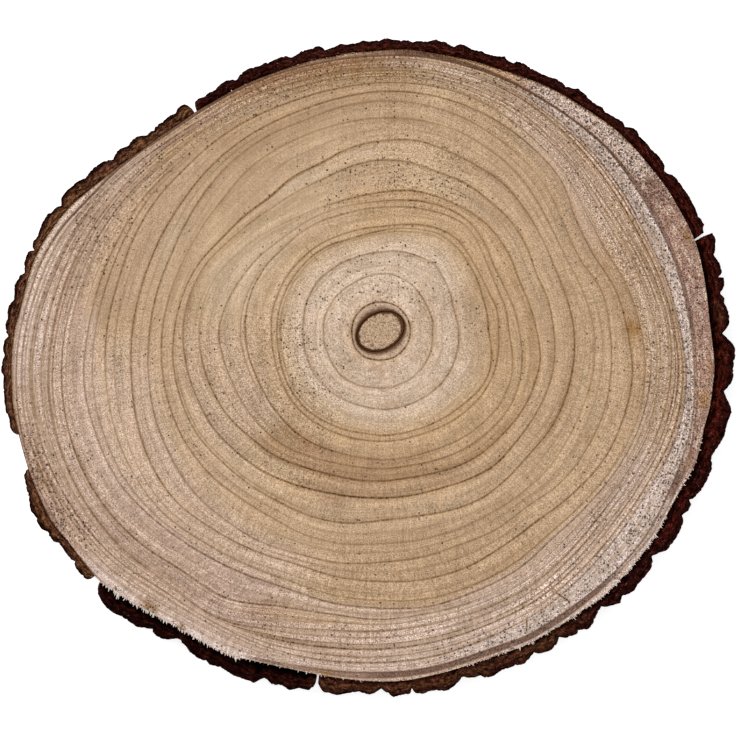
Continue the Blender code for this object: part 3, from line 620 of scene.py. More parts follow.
class SliceColours(bpy.types.PropertyGroup):
    """Colours of the slice"""

    cream: colour_property("Cream", "Wood round the pith", seen(210, 185, 162))
    tan: colour_property("Tan", "Wood further out", seen(191, 161, 129))
    gold: colour_property("Gold", "Yellower rings round the cream wood", seen(192, 158, 121))
    light: colour_property("Light", "Lighter side of the wood", seen(201, 173, 141))
    deep: colour_property("Deep", "Broad darker rings", seen(168, 135, 102))
    pink: colour_property("Pink", "Outer rings", seen(199, 173, 157))
    pale: colour_property("Pale", "Sapwood next to the bark", seen(216, 198, 190))
    mauve: colour_property("Mauve", "Band under the bark", seen(155, 121, 106))
    # Painted shade of the dish round the groove
    dish_shade: colour_property("Umber", "Darker wood round the groove", seen(151, 125, 110))
    rust: colour_property("Rust", "Browner stretch of that band", seen(142, 101, 77))
    stain: colour_property("Stain", "Stains on the wood", seen(152, 112, 64))
    pore: colour_property("Pore", "Open pores", seen(66, 44, 29))
    # Painted shade: the dark colour of the groove's walls stands in for the shade in the groove
    hollow: colour_property("Hollow", "Wall of the groove round the pith", seen(104, 69, 44))
    pith: colour_property("Pith", "The crumbly pith", seen(193, 163, 134))
    bark: colour_property("Bark", "Dark bark", seen(41, 12, 8))
    left_bark: colour_property("Left Bark", "Browner bark", seen(88, 54, 37))
    red: colour_property("Red", "Redder places of the bark", seen(76, 22, 12))
    brown: colour_property("Brown", "Browner places of the dark bark", seen(78, 43, 29))
    # Light specks on the bark, partly dust and partly painted glints
    dust: colour_property("Dust", "Specks of dust on the bark", seen(130, 110, 96))
    fibre: colour_property("Fibre", "Torn fibres", seen(226, 213, 201))
    ochre: colour_property("Ochre", "Ochre places of the bark", seen(104, 70, 40))


def ease(value, low, high):
    """0 at low and 1 at high, with a smooth step between."""
    share = np.clip((value - low) / (high - low), 0.0, 1.0)
    return share * share * (3.0 - 2.0 * share)


def arc(degrees, start, end, soft):
    """1 from start to end, falling to 0 over soft degrees outside them."""
    half = ((end - start) % 360.0) / 2.0
    if half == 0.0:
        return np.ones_like(degrees)
    away = np.abs((degrees - start - half + 180.0) % 360.0 - 180.0)
    return 1.0 - ease(away, half, half + soft)


def smooth_curve(points, degrees):
    """Values at these angles on a smooth closed curve through the points, of which the first is at 0."""
    angles = np.array([point[0] for point in points], float)
    values = np.array([point[1] for point in points], float)
    angles = np.concatenate([angles[-2:] - 360.0, angles, angles[:2] + 360.0])
    values = np.concatenate([values[-2:], values, values[:2]])
    at = np.asarray(degrees, float) % 360.0
    after = np.searchsorted(angles, at, side="right")
    a0, a1, a2, a3 = (angles[after + step] for step in (-2, -1, 0, 1))
    r0, r1, r2, r3 = (values[after + step] for step in (-2, -1, 0, 1))
    share = (at - a1) / (a2 - a1)
    slope_in = (r2 - r0) / (a2 - a0) * (a2 - a1)
    slope_out = (r3 - r1) / (a3 - a1) * (a2 - a1)
    square, cube = share**2, share**3
    value = (2 * cube - 3 * square + 1) * r1 + (3 * square - 2 * cube) * r2
    return value + (cube - 2 * square + share) * slope_in + (cube - square) * slope_out


def on_slice(degrees, radius):
    """The place on the floor at this angle and radius, in units, from the reading point."""
    x = (radius * math.cos(math.radians(degrees)) - MIDDLE[0]) * UNIT
    y = (radius * math.sin(math.radians(degrees)) - MIDDLE[1]) * UNIT
    return Vector((x, y, 0.0))


def reach(inside):
    """The radius about the pith, at each column, at which the shape named by inside ends."""
    angle = np.radians(DEGREES)
    low = np.zeros(COLUMNS)
    high = np.full(COLUMNS, FAR_RADIUS)
    for halving in range(HALVINGS):
        middle = (low + high) / 2.0
        within = inside(PITH[0] + middle * np.cos(angle), PITH[1] + middle * np.sin(angle))
        low = np.where(within, middle, low)
        high = np.where(within, high, middle)
    return low


def inside_curve(points):
    def inside(x, y):
        return np.hypot(x, y) < smooth_curve(points, np.degrees(np.arctan2(y, x)))
    return inside


def inside_hollow(x, y):
    tilt = math.radians(OVAL_TILT)
    along = (x - OVAL_CENTRE[0]) * math.cos(tilt) + (y - OVAL_CENTRE[1]) * math.sin(tilt)
    across = (y - OVAL_CENTRE[1]) * math.cos(tilt) - (x - OVAL_CENTRE[0]) * math.sin(tilt)
    return (2 * along / HOLLOW_LONG) ** 2 + (2 * across / HOLLOW_SHORT) ** 2 < 1.0


DEGREES = np.arange(COLUMNS) * 360.0 / COLUMNS
GUIDES = ["hollow", *RINGS, "band", "band2", "edge"]
AGE = {name: float(index) for index, name in enumerate(GUIDES)}


class Growth:
    """The rings at every column: where each lies, how dark it is, and the rows of mesh between them."""

    def __init__(self):
        curves = self.guide_curves()
        lines = [(AGE[name], curves[name], *self.depths(name)) for name in GUIDES]
        for name, share, depth, start, end in FINE_RINGS:
            after = curves[GUIDES[int(AGE[name]) + 1]]
            place = curves[name] + (after - curves[name]) * share
            strength = depth * arc(DEGREES, start, end, FINE_RING_SOFT)
            lines.append((AGE[name] + share, place, strength, np.zeros(COLUMNS)))
        lines.sort(key=lambda line: line[0])
        ages = [line[0] for line in lines]
        self.line_radius, self.line_depth, self.line_shade = (
            np.array([line[part] for line in lines]) for part in (1, 2, 3)
        )
        rows = []
        for index, gap in enumerate(np.diff(self.line_radius, axis=0)):
            parts = max(1, round(float(gap.max()) / ROW_STEP))
            for share in (part / parts for part in range(parts)):
                age = ages[index] + (ages[index + 1] - ages[index]) * share
                rows.append((age, self.line_radius[index] + gap * share, index))
        rows.append((ages[-1], self.line_radius[-1], len(lines) - 2))
        self.age, self.radius, self.inner = (np.array(column) for column in zip(*rows))

    @staticmethod
    def guide_curves():
        curves = {"hollow": reach(inside_hollow)}
        for name, radii in RINGS.items():
            points = [(index * RING_STEP, radius) for index, radius in enumerate(radii)]
            curves[name] = smooth_curve(points, DEGREES)
        curves["band"] = reach(inside_curve([(angle, low) for angle, low, high in BAND]))
        curves["band2"] = reach(inside_curve([(angle, high) for angle, low, high in BAND]))
        curves["edge"] = reach(inside_curve(WOOD_EDGE))
        for inner, outer in zip(GUIDES[-2::-1], GUIDES[:0:-1]):
            curves[inner] = np.minimum(curves[inner], curves[outer] - LEAST_RING)
        return curves

    @staticmethod
    def depths(name):
        """The line's depth and the shade inside it, at every column."""
        depth, shade = RING_DEPTH.get(name, (0.0, 0.0))
        depth = np.full(COLUMNS, depth)
        shade = np.full(COLUMNS, shade)
        for ring, start, end, line_factor, shade_factor in STRETCHES:
            if ring == name:
                weight = arc(DEGREES, start, end, STRETCH_SOFT)
                depth *= 1.0 + (line_factor - 1.0) * weight
                shade *= 1.0 + (shade_factor - 1.0) * weight
        return depth, shade

    def masks(self):
        """How much of each tone, of painted shadow at the edge and of painted shade in the dish the wood
        has, by name, at every row and column.
        """
        age = self.age[:, None]
        found = {name: np.zeros(self.radius.shape) for name in MASKS}
        for name, tones in TONES.items():
            for inner, outer, start, end, soft, soft_degrees, amount in tones:
                low, high = AGE[inner], AGE[outer]
                weight = ease(age, low - soft, low) * (1.0 - ease(age, high, high + soft))
                weight = weight * arc(DEGREES, start, end, soft_degrees) * amount
                found[name] = 1.0 - (1.0 - found[name]) * (1.0 - weight)
        x = PITH[0] + self.radius * np.cos(np.radians(DEGREES))
        y = PITH[1] + self.radius * np.sin(np.radians(DEGREES))
        read = np.degrees(np.arctan2(y, x)), np.hypot(x, y)
        for angle, middle, along, across, amount in STAINS:
            weight = amount * spot(*read, angle, middle, along, across)
            found["stain"] = np.maximum(found["stain"], weight)
        for name, angle, middle, along, across, amount in SMUDGES:
            weight = amount * spot(DEGREES, self.radius, angle, middle, along, across)
            found[name] = 1.0 - (1.0 - found[name]) * (1.0 - weight)
        for spot_x, spot_y, wide, amount in PORE_CLUSTERS:
            weight = amount * np.exp(-((x - spot_x) ** 2 + (y - spot_y) ** 2) / wide**2)
            found["pores"] = np.maximum(found["pores"], weight)
        found["rim"] = np.broadcast_to(self.band_strength(), self.radius.shape)
        # Painted shadow along the edge of the wood, where the bark beside it lies in shade
        found["brink"] = np.broadcast_to(arc(DEGREES, *BRINK_ARC), self.radius.shape)
        # The dish is painted shade round the groove, weaker on the side that the light reaches
        lit = 1.0 - LIT_DISH * arc(DEGREES, *LIT_DISH_ARC)
        found["dish"] = (1.0 - ease(age, 0.0, SHADED_DISH_AGE)) * lit
        return found

    @staticmethod
    def band_strength():
        strength = np.ones(COLUMNS)
        for start, end, amount in BAND_GAPS:
            strength *= 1.0 - (1.0 - amount) * arc(DEGREES, start, end, BAND_GAP_SOFT)
        return strength


def spot(degrees, radius, angle, middle, along, across):
    """1 at this angle and middle radius, fading out along and across the radius."""
    turn = np.radians((degrees - angle + 180.0) % 360.0 - 180.0) * middle
    return np.exp(-((radius - middle) / along) ** 2 - (turn / across) ** 2)


def finished_object(name, mesh, material):
    """Puts the mesh in the scene as a piece that rides with the frame."""
    mesh.shade_smooth()
    mesh.set_sharp_from_angle(angle=math.radians(SHARP_ANGLE))
    mesh.materials.append(material)
    item = bpy.data.objects.new(name, mesh)
    bpy.context.scene.collection.objects.link(item)
    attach(item, "root")
    return item


def ring_of_profile(rows, columns, closed):
    """A profile of this many points turned all round: each vert's radius holds its row."""
    shape = bmesh.new()
    points = [shape.verts.new((1.0 + row, 0.0, 0.0)) for row in range(rows)]
    pairs = list(zip(points, points[1:])) + ([(points[-1], points[0])] if closed else [])
    edges = [shape.edges.new(pair) for pair in pairs]
    bmesh.ops.spin(
        shape, geom=points + edges, cent=(0, 0, 0), axis=(0, 0, 1),
        angle=2 * math.pi, steps=columns, use_merge=True,
    )
    return shape


def vertex_places(mesh):
    places = np.zeros(len(mesh.vertices) * 3)
    mesh.vertices.foreach_get("co", places)
    return places.reshape(-1, 3)


def rows_and_columns(mesh, columns):
    """The row and column of every vert of a mesh made by ring_of_profile."""
    places = vertex_places(mesh)
    rows = np.round(np.hypot(places[:, 0], places[:, 1]) - 1.0).astype(int)
    turn = np.degrees(np.arctan2(places[:, 1], places[:, 0])) * columns / 360.0
    return rows, np.round(turn).astype(int) % columns


def add_attribute(mesh, name, values):
    mesh.attributes.new(name, "FLOAT", "POINT").data.foreach_set("value", values.astype(np.float32))


def add_corner_vectors(mesh, name, *parts):
    values = np.stack(parts, axis=1).astype(np.float32)
    mesh.attributes.new(name, "FLOAT_VECTOR", "CORNER").data.foreach_set("vector", values.ravel())


def sunk_face(growth, dish):
    """How far the sawn face lies under the top of the slice, at every row and column."""
    angle = np.radians(DEGREES)
    wave = np.array([
        [noise.noise(Vector((x, y, 0.0))) for x, y in zip(ring * np.cos(angle), ring * np.sin(angle))]
        for ring in growth.radius / WAVE_REACH
    ])
    sink = dish * (1.0 - ease(growth.age, 0.0, DISH_AGE))[:, None]
    sink = sink + WAVE_DEPTH * (1.0 + wave) * ease(growth.age, 1.0, 3.0)[:, None]
    sink[-1] += EDGE_ROUND
    return sink


def wood_profile(growth, dish):
    """Radius, height, kind and ring row of every row round the section of the wood."""
    low, high = WOOD_BOX[0].z, WOOD_BOX[1].z
    edge, hollow = growth.radius[-1], growth.radius[0]
    last = len(growth.age) - 1
    flat = np.zeros(COLUMNS)
    sink = sunk_face(growth, dish)
    profile = [(growth.radius[row], high - sink[row], "face", row) for row in range(last + 1)]
    for step in range(1, SIDE_ROWS):
        height = high - EDGE_ROUND - (high - low - 2 * EDGE_ROUND) * step / SIDE_ROWS
        profile.append((edge + EDGE_ROUND / UNIT * EDGE_BULGE, flat + height, "side", last))
    for row in range(last, -1, -1):
        ledge = LEDGE_WIDTH if row == 0 else 0.0
        rounded = EDGE_ROUND if row == last else 0.0
        profile.append((growth.radius[row] - ledge, flat + low + rounded, "foot", row))
    for step in range(WALL_ROWS):
        ledge = LEDGE_WIDTH if step == 0 else 0.0
        height = low + LEDGE_HEIGHT + (high - dish - low - LEDGE_HEIGHT) * step / WALL_ROWS
        profile.append((hollow - ledge, flat + height, "wall", 0))
    return [np.array(column) for column in zip(*profile)]


def make_wood(sizes, material):
    growth = Growth()
    radii, levels, kinds, ring_rows = wood_profile(growth, sizes.dish)
    shape = ring_of_profile(len(kinds), COLUMNS, closed=True)
    mesh = bpy.data.meshes.new("sliced_wood")
    shape.to_mesh(mesh)
    shape.free()
    rows, columns = rows_and_columns(mesh, COLUMNS)
    angle, radius = np.radians(DEGREES[columns]), radii[rows, columns]
    places = np.stack([
        (PITH[0] + radius * np.cos(angle) - MIDDLE[0]) * UNIT,
        (PITH[1] + radius * np.sin(angle) - MIDDLE[1]) * UNIT,
        levels[rows, columns],
    ], axis=1)
    mesh.vertices.foreach_set("co", places.ravel())
    on_face = (kinds == "face") | (kinds == "foot")
    on_wall = (kinds == "wall") | (ring_rows == 0)
    add_attribute(mesh, "age", growth.age[ring_rows[rows]])
    add_attribute(mesh, "side", ~on_face[rows])
    add_attribute(mesh, "wall", on_wall[rows])
    for name, values in growth.masks().items():
        add_attribute(mesh, name, values[ring_rows[rows], columns])
    add_ring_gaps(mesh, growth, rows, columns, ring_rows, on_face)
    face_outwards(mesh)
    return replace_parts(finished_object("sliced_wood", mesh, material), "wood")


def add_ring_gaps(mesh, growth, rows, columns, ring_rows, on_face):
    """How far each corner lies from the lines on either side of its face, and how dark they are."""
    corner_vertex = np.zeros(len(mesh.loops), int)
    mesh.loops.foreach_get("vertex_index", corner_vertex)
    corner_rows = rows[corner_vertex].reshape(-1, 4)
    first, last = corner_rows.min(axis=1), corner_rows.max(axis=1)
    flat = np.repeat(on_face[first] & on_face[last] & (last - first == 1), 4)
    line = np.repeat(growth.inner[np.minimum(ring_rows[first], ring_rows[last])], 4)
    column = columns[corner_vertex]
    radius = growth.radius[ring_rows[rows[corner_vertex]], column]
    inner_gap = np.where(flat, radius - growth.line_radius[line, column], FAR_GAP)
    outer_gap = np.where(flat, growth.line_radius[line + 1, column] - radius, FAR_GAP)
    add_corner_vectors(mesh, "gaps", inner_gap, outer_gap, np.zeros(len(radius)))
    depths = growth.line_depth[line, column], growth.line_depth[line + 1, column]
    add_corner_vectors(mesh, "depth", *depths, growth.line_shade[line + 1, column])


def face_outwards(mesh):
    shape = bmesh.new()
    shape.from_mesh(mesh)
    bmesh.ops.recalc_face_normals(shape, faces=shape.faces)
    shape.to_mesh(mesh)
    shape.free()


def make_fibres(material):
    """Torn fibres that stand out over the bark from the sawn edge of the wood."""
    draw = random.Random(FIBRE_SEED)
    shape = bmesh.new()
    for start, end, step, size, lean in FIBRE_ARCS:
        degrees = start
        while degrees < end:
            clump = max(0.25, 1.0 + 2.2 * noise.noise(Vector((degrees * FIBRE_CLUMPS, 2.0, 0.0))))
            add_fibre(shape, draw, degrees, size * clump * (1.0 + 4.0 * draw.random() ** 2), lean)
            degrees += step * (0.4 + 1.2 * draw.random())
    for degrees, long, lean in LONG_FIBRES:
        add_fibre(shape, draw, degrees, long, lean)
    mesh = bpy.data.meshes.new("torn_fibres")
    shape.to_mesh(mesh)
    shape.free()
    return finished_object("torn_fibres", mesh, material)


def add_fibre(shape, draw, degrees, long, lean):
    """One flattened spike, rooted in the wood and this many units long past its edge."""
    width = (FIBRE_WIDTH + FIBRE_WIDTH_SPREAD * draw.random()) * UNIT
    length = (FIBRE_ROOT + long) * UNIT
    edge = float(smooth_curve(WOOD_EDGE, np.array([degrees]))[0])
    place = on_slice(degrees, edge - FIBRE_ROOT)
    heading = math.radians(degrees + lean + draw.uniform(-FIBRE_SWAY, FIBRE_SWAY))
    place.z = WOOD_BOX[1].z - draw.uniform(*FIBRE_DROP)
    dip = math.radians(90 + draw.uniform(*FIBRE_DIP))
    turn = Matrix.Rotation(heading, 4, "Z") @ Matrix.Rotation(dip, 4, "Y")
    flat = Matrix.Diagonal((FIBRE_FLATNESS, 1.0, 1.0, 1.0)) @ Matrix.Translation((0, 0, length / 2))
    bmesh.ops.create_cone(
        shape, cap_ends=True, segments=FIBRE_SIDES, radius1=width / 2, radius2=width * FIBRE_TIP,
        depth=length, matrix=Matrix.Translation(place) @ turn @ flat,
    )


def two_noises(place, wide, narrow, share, start):
    """Noise of a wide reach, moved by start, with a share of one of a narrow reach."""
    return noise.noise(place / wide + Vector(start)) + share * noise.noise(place / narrow)


def plug_section(low, high, groove):
    """Share of the oval and height of each row of the plug, from the middle of its foot to its crown."""
    wide = 1.0 - PLUG_GAP / (HOLLOW_SHORT / 2 * UNIT)
    bottom = high - groove
    section = [(share, low + PLUG_FOOT) for share in PLUG_FOOT_SHARES]
    section += [
        (wide, low + PLUG_FOOT + PLUG_FOOT_ROUND), (wide, low + PLUG_WAIST), (wide, bottom - PLUG_LIP),
        (wide - 0.05, bottom), (PLUG_SHARE + 0.03, bottom + PLUG_LIP),
    ]
    for step in range(1, PLUG_WALL_ROWS + 1):
        height = bottom + (groove - PLUG_LIP) * step / PLUG_WALL_ROWS
        section.append((PLUG_SHARE - PLUG_TAPER * step, height))
    rim = section[-1][0]
    for share in (step / PLUG_FACE_ROWS for step in range(1, PLUG_FACE_ROWS + 1)):
        section.append((rim * (1.0 - share), high + PLUG_CROWN * math.sin(math.pi / 2 * share)))
    return section


def plug_place(share, height, angle, high, groove):
    """Where a point of the plug lies about its middle, with crumbs above the bottom of the groove."""
    tilt = math.radians(OVAL_TILT)
    along = share * HOLLOW_LONG / 2 * math.cos(angle)
    across = share * HOLLOW_SHORT / 2 * math.sin(angle)
    x = along * math.cos(tilt) - across * math.sin(tilt)
    y = along * math.sin(tilt) + across * math.cos(tilt)
    place = Vector((x, y, 0.0))
    if share <= PLUG_SHARE:
        crumbled = min(1.0, max(0.0, (height - high + groove) / groove))
        edge = (share / PLUG_SHARE) ** 6
        height += crumbled * PLUG_GRAIN * two_noises(place, 3.1, 1.4, 0.6, (3, 1, 5)) * (1 + edge)
        place *= 1.0 + crumbled * edge * PLUG_RAGGED * two_noises(place, 4.0, 1.8, 0.5, (9, 4, 2))
        place += Vector((*PLUG_SHIFT, 0.0)) * crumbled
    return place * UNIT + Vector((0, 0, height))


def make_pith(sizes, material):
    """The crumbly plug, whose wall stands in from the groove round it."""
    high = WOOD_BOX[1].z - sizes.dish
    section = plug_section(WOOD_BOX[0].z, high, sizes.groove)
    shape = ring_of_profile(len(section), PLUG_COLUMNS, closed=False)
    mesh = bpy.data.meshes.new("crumbly_pith")
    shape.to_mesh(mesh)
    rows, columns = rows_and_columns(mesh, PLUG_COLUMNS)
    centre = on_slice(0.0, 0.0) + Vector((*OVAL_CENTRE, 0.0)) * UNIT
    for vert, row, column in zip(shape.verts, rows, columns):
        angle = 2 * math.pi * column / PLUG_COLUMNS
        vert.co = centre + plug_place(*section[row], angle, high, sizes.groove)
    bmesh.ops.remove_doubles(shape, verts=shape.verts, dist=1e-6)
    bmesh.ops.recalc_face_normals(shape, faces=shape.faces)
    shape.to_mesh(mesh)
    shape.free()
    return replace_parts(finished_object("crumbly_pith", mesh, material), "pith")


def block(columns, across, up):
    """A box of unit size, subdivided along its three axes."""
    shape = bmesh.new()
    bmesh.ops.create_cube(shape, size=1.0)
    for axis, parts in enumerate((columns, across, up)):
        along = [
            edge for edge in shape.edges
            if abs(edge.verts[0].co[axis] - edge.verts[1].co[axis]) > 0.5
        ]
        bmesh.ops.subdivide_edges(shape, edges=along, cuts=parts - 1, use_grid_fill=True)
    return shape


def make_bark(name, sizes, material):
    """A box bent along the wood's edge, with plates, knobs and cracks."""
    outline, inner_ends, depths, slot = BARK_PIECES[name]
    first, last = outline[0][0], outline[-1][0]
    columns = round((last - first) / BARK_COLUMN)
    degrees = np.linspace(first, last, columns + 1)
    spread = BARK_SPREAD + BARK_RIGHT_SPREAD * arc(degrees, *BARK_RIGHT_ARC)
    outer = (np.interp(degrees, *np.array(outline, float).T) + spread) * UNIT
    inner_degrees = np.linspace(*inner_ends, columns + 1)
    inner = smooth_curve(WOOD_EDGE, inner_degrees) * UNIT + BARK_GAP
    shape = block(columns, BARK_ROWS_ACROSS, BARK_ROWS_UP)
    mesh = bpy.data.meshes.new(name + "_piece")
    reading = []
    for vert in shape.verts:
        column = round((vert.co.x + 0.5) * columns)
        out = round((0.5 - vert.co.y) * BARK_ROWS_ACROSS) / BARK_ROWS_ACROSS
        level = round((vert.co.z + 0.5) * BARK_ROWS_UP) / BARK_ROWS_UP
        reading.append((out, level, math.radians(degrees[column]) * BARK_RADIUS))
        ends = (inner_degrees[column], inner[column]), (degrees[column], outer[column])
        vert.co = bark_place(*ends, out, level, depths, sizes.bark_relief)
    shape.to_mesh(mesh)
    shape.free()
    outs, levels, alongs = np.array(reading).T
    for part, values in (("across", outs), ("level", levels), ("along", alongs)):
        add_attribute(mesh, part, values)
    add_bark_tones(mesh, outs)
    item = finished_object(name + "_piece", mesh, material)
    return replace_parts(item, name)


def bark_hollow(degrees, thickness, level):
    """How far the outer face draws in at this level, which swings slowly round the slice."""
    swing = (math.sin(degrees * 0.33 + level * 6.3) + math.sin(degrees * 0.87 + level * 14.1)) / 2
    share = np.interp(level, BARK_LEVELS, BARK_HOLLOW) + np.interp(level, BARK_LEVELS, BARK_SWING) * swing
    return thickness * float(share)


def bark_cracks(along, level):
    """How deep the cracks and flakes are here, from 0 to about 1."""
    tall = level * THICKNESS / UNIT
    crack = abs(noise.noise(Vector((along / CRACK_REACH[0], tall / CRACK_REACH[1], 3.0))))
    flake = noise.noise(Vector((along / FLAKE_REACH[0], tall / FLAKE_REACH[1], 8.0)))
    return max(0.0, CRACK_WIDTH - crack) / CRACK_WIDTH * CRACK_DEPTH + FLAKE_DEPTH * max(0.0, flake)


def bark_lumps(x, y):
    wide = noise.noise(Vector((x, y, 0)) / (LUMP_REACH[0] * UNIT))
    return wide + 0.7 * noise.noise(Vector((x, y, 4)) / (LUMP_REACH[1] * UNIT))


def bark_place(inner, outer, out, level, depths, relief):
    """Where one point of a bark piece lies: inner and outer are angles and radii in metres."""
    degrees = outer[0]
    along = math.radians(degrees) * BARK_RADIUS
    nick = NICK_DEPTH * max(0.0, noise.noise(Vector((along / NICK_REACH, 5.0, level))))
    carved = bark_hollow(degrees, outer[1] - inner[1], level) + nick
    carved += relief * ease(out, 0.15, 0.8) * bark_cracks(along, level) * (1.0 - 0.85 * level)
    place = on_slice(inner[0], inner[1] / UNIT).lerp(on_slice(degrees, (outer[1] - carved) / UNIT), out)
    foot = BARK_FOOT + (BARK_FOOT_OUTER - BARK_FOOT) * out
    dip = BARK_DIP * (1.0 + math.sin(degrees * 0.33)) * out
    height = THICKNESS - float(np.interp(out, (0.0, 0.5, 1.0), depths)) - dip
    place.z = foot + (height - foot) * level
    place.z += relief * LUMP_HEIGHT * level**10 * bark_lumps(place.x, place.y) * ease(out, 0.0, 0.3)
    return place


def add_bark_tones(mesh, outs):
    """Where the bark is browner, redder, more ochre or in shadow, as read along its length."""
    places = vertex_places(mesh) / UNIT
    degrees = np.degrees(np.arctan2(places[:, 1] + MIDDLE[1], places[:, 0] + MIDDLE[0]))
    tones = np.zeros((4, len(outs)))
    for start, end, middle, soft, *amounts in BARK_TONES:
        weight = arc(degrees, start, end, 1.5) * np.exp(-((outs - middle) / soft) ** 2)
        for tone, amount in zip(tones, amounts):
            np.maximum(tone, weight * amount, out=tone)
    for start, end, share, amount in BARK_SHADOWS:
        far = share * (0.8 + 0.4 * np.sin(degrees * 2.3) * np.sin(degrees * 0.7))
        weight = arc(degrees, start, end, 0.8) * (1.0 - ease(outs, far * 0.6, far * 1.3 + 0.02))
        np.maximum(tones[3], weight * amount, out=tones[3])
    for name, values in zip(("brown", "red", "ochre", "shadow"), tones):
        add_attribute(mesh, name, values)


class Term:
    """A value in a material, on which arithmetic adds Math nodes."""

    def __init__(self, shades, socket):
        self.shades = shades
        self.socket = socket

    def maths(self, operation, *values, clamp=False):
        sockets = dict(enumerate(values))
        made = self.shades.node("ShaderNodeMath", {"operation": operation, "use_clamp": clamp}, sockets)
        return Term(self.shades, made.outputs[0])

    def __add__(self, other):
        return self.maths("ADD", self, other)

    def __sub__(self, other):
        return self.maths("SUBTRACT", self, other)

    def __rsub__(self, other):
        return self.maths("SUBTRACT", other, self)

    def __mul__(self, other):
        return self.maths("MULTIPLY", self, other)

    def __truediv__(self, other):
        return self.maths("DIVIDE", self, other)

    def __pow__(self, other):
        return self.maths("POWER", self, other)

    __radd__ = __add__
    __rmul__ = __mul__

    def exp(self):
        return self.maths("EXPONENT", self)

    def clamp(self):
        return self.maths("ADD", self, 0.0, clamp=True)

    def larger(self, other):
        return self.maths("MAXIMUM", self, other)

    def bell(self, width):
        """1 where this value is 0, fading out over about this width on either side."""
        return (0.0 - self * self / width**2).exp()

    def step(self, low, high):
        """0 below low and 1 above high, smooth between."""
        settings = {"interpolation_type": "SMOOTHSTEP"}
        sockets = {0: self, 1: low, 2: high, 3: 0.0, 4: 1.0}
        if low > high:
            sockets = {0: self, 1: high, 2: low, 3: 1.0, 4: 0.0}
        return Term(self.shades, self.shades.node("ShaderNodeMapRange", settings, sockets).outputs[0])


class Shades:
    """The nodes of one material."""

    def __init__(self, name):
        self.material = bpy.data.materials.new(name)
        self.material.use_nodes = True
        self.tree = self.material.node_tree
        self.shader = self.tree.nodes["Principled BSDF"]
        self.place = Term(self, self.node("ShaderNodeTexCoord").outputs["Object"])

    def node(self, kind, settings=None, sockets=None):
        made = self.tree.nodes.new(kind)
        for key, value in (settings or {}).items():
            setattr(made, key, value)
        for key, value in (sockets or {}).items():
            self.fill(made.inputs[key], value)
        return made

    def fill(self, socket, value):
        if isinstance(value, Term):
            self.tree.links.new(value.socket, socket)
        elif socket.type == "RGBA" and not isinstance(value, float):
            socket.default_value = (*value, 1.0)
        else:
            socket.default_value = value

    def attribute(self, name, part="Fac"):
        return Term(self, self.node("ShaderNodeAttribute", {"attribute_name": name}).outputs[part])

    def parts(self, vector):
        made = self.node("ShaderNodeSeparateXYZ", {}, {0: vector})
        return [Term(self, made.outputs[index]) for index in range(3)]

    def join(self, x, y, z):
        return Term(self, self.node("ShaderNodeCombineXYZ", {}, {0: x, 1: y, 2: z}).outputs[0])

    def vector(self, operation, first, second, output=0):
        made = self.node("ShaderNodeVectorMath", {"operation": operation}, {0: first, 1: second})
        return Term(self, made.outputs[output])

    def noise(self, scale, detail=2.0, place=None, roughness=0.5):
        """Noise about 0, from about -1 to 1."""
        sockets = {
            "Vector": self.place if place is None else place, "Scale": scale, "Detail": detail,
            "Roughness": roughness,
        }
        return (Term(self, self.node("ShaderNodeTexNoise", {}, sockets).outputs[0]) - 0.5) * 2.6

    def mix(self, share, first, second):
        settings = {"data_type": "RGBA", "clamp_factor": True}
        made = self.node("ShaderNodeMix", settings, {0: share, 6: first, 7: second})
        return Term(self, made.outputs[2])

    def pits(self, place, spacing, share, size):
        """Round specks, at most one in each cell of this spacing, in this share of the cells."""
        sockets = {"Vector": place, "Scale": 1.0 / spacing}
        made = self.node("ShaderNodeTexVoronoi", {"voronoi_dimensions": "2D"}, sockets)
        chance, wide, spare = self.parts(Term(self, made.outputs["Color"]))
        near = Term(self, made.outputs["Distance"]) / (0.6 + wide * 0.7)
        return near.step(size * 1.35, size * 0.65) * (share - chance).step(0.0, 0.02) * (0.30 + spare * 0.75)

    def stroke(self, x, y, line):
        """A line between two points that fades out over its half width."""
        start_x, start_y, end_x, end_y, width, amount = line
        along_x, along_y = end_x - start_x, end_y - start_y
        share = ((x - start_x) * along_x + (y - start_y) * along_y) / (along_x**2 + along_y**2)
        share = share.clamp()
        away_x = x - start_x - share * along_x
        away_y = y - start_y - share * along_y
        return (0.0 - (away_x * away_x + away_y * away_y) / width**2).exp() * amount

    def darken(self, colour, factor):
        """The colour times a value."""
        return self.vector("MULTIPLY", colour, self.join(factor, factor, factor))

    def finish(self, colour, roughness, height=None, depth=0.0, gloss=0.12):
        self.fill(self.shader.inputs["Base Color"], colour)
        self.fill(self.shader.inputs["Roughness"], roughness)
        self.shader.inputs["Specular IOR Level"].default_value = gloss
        if height is not None:
            bump = self.node("ShaderNodeBump", {}, {"Strength": 1.0, "Distance": depth, "Height": height})
            self.tree.links.new(bump.outputs[0], self.shader.inputs["Normal"])
        return self.material


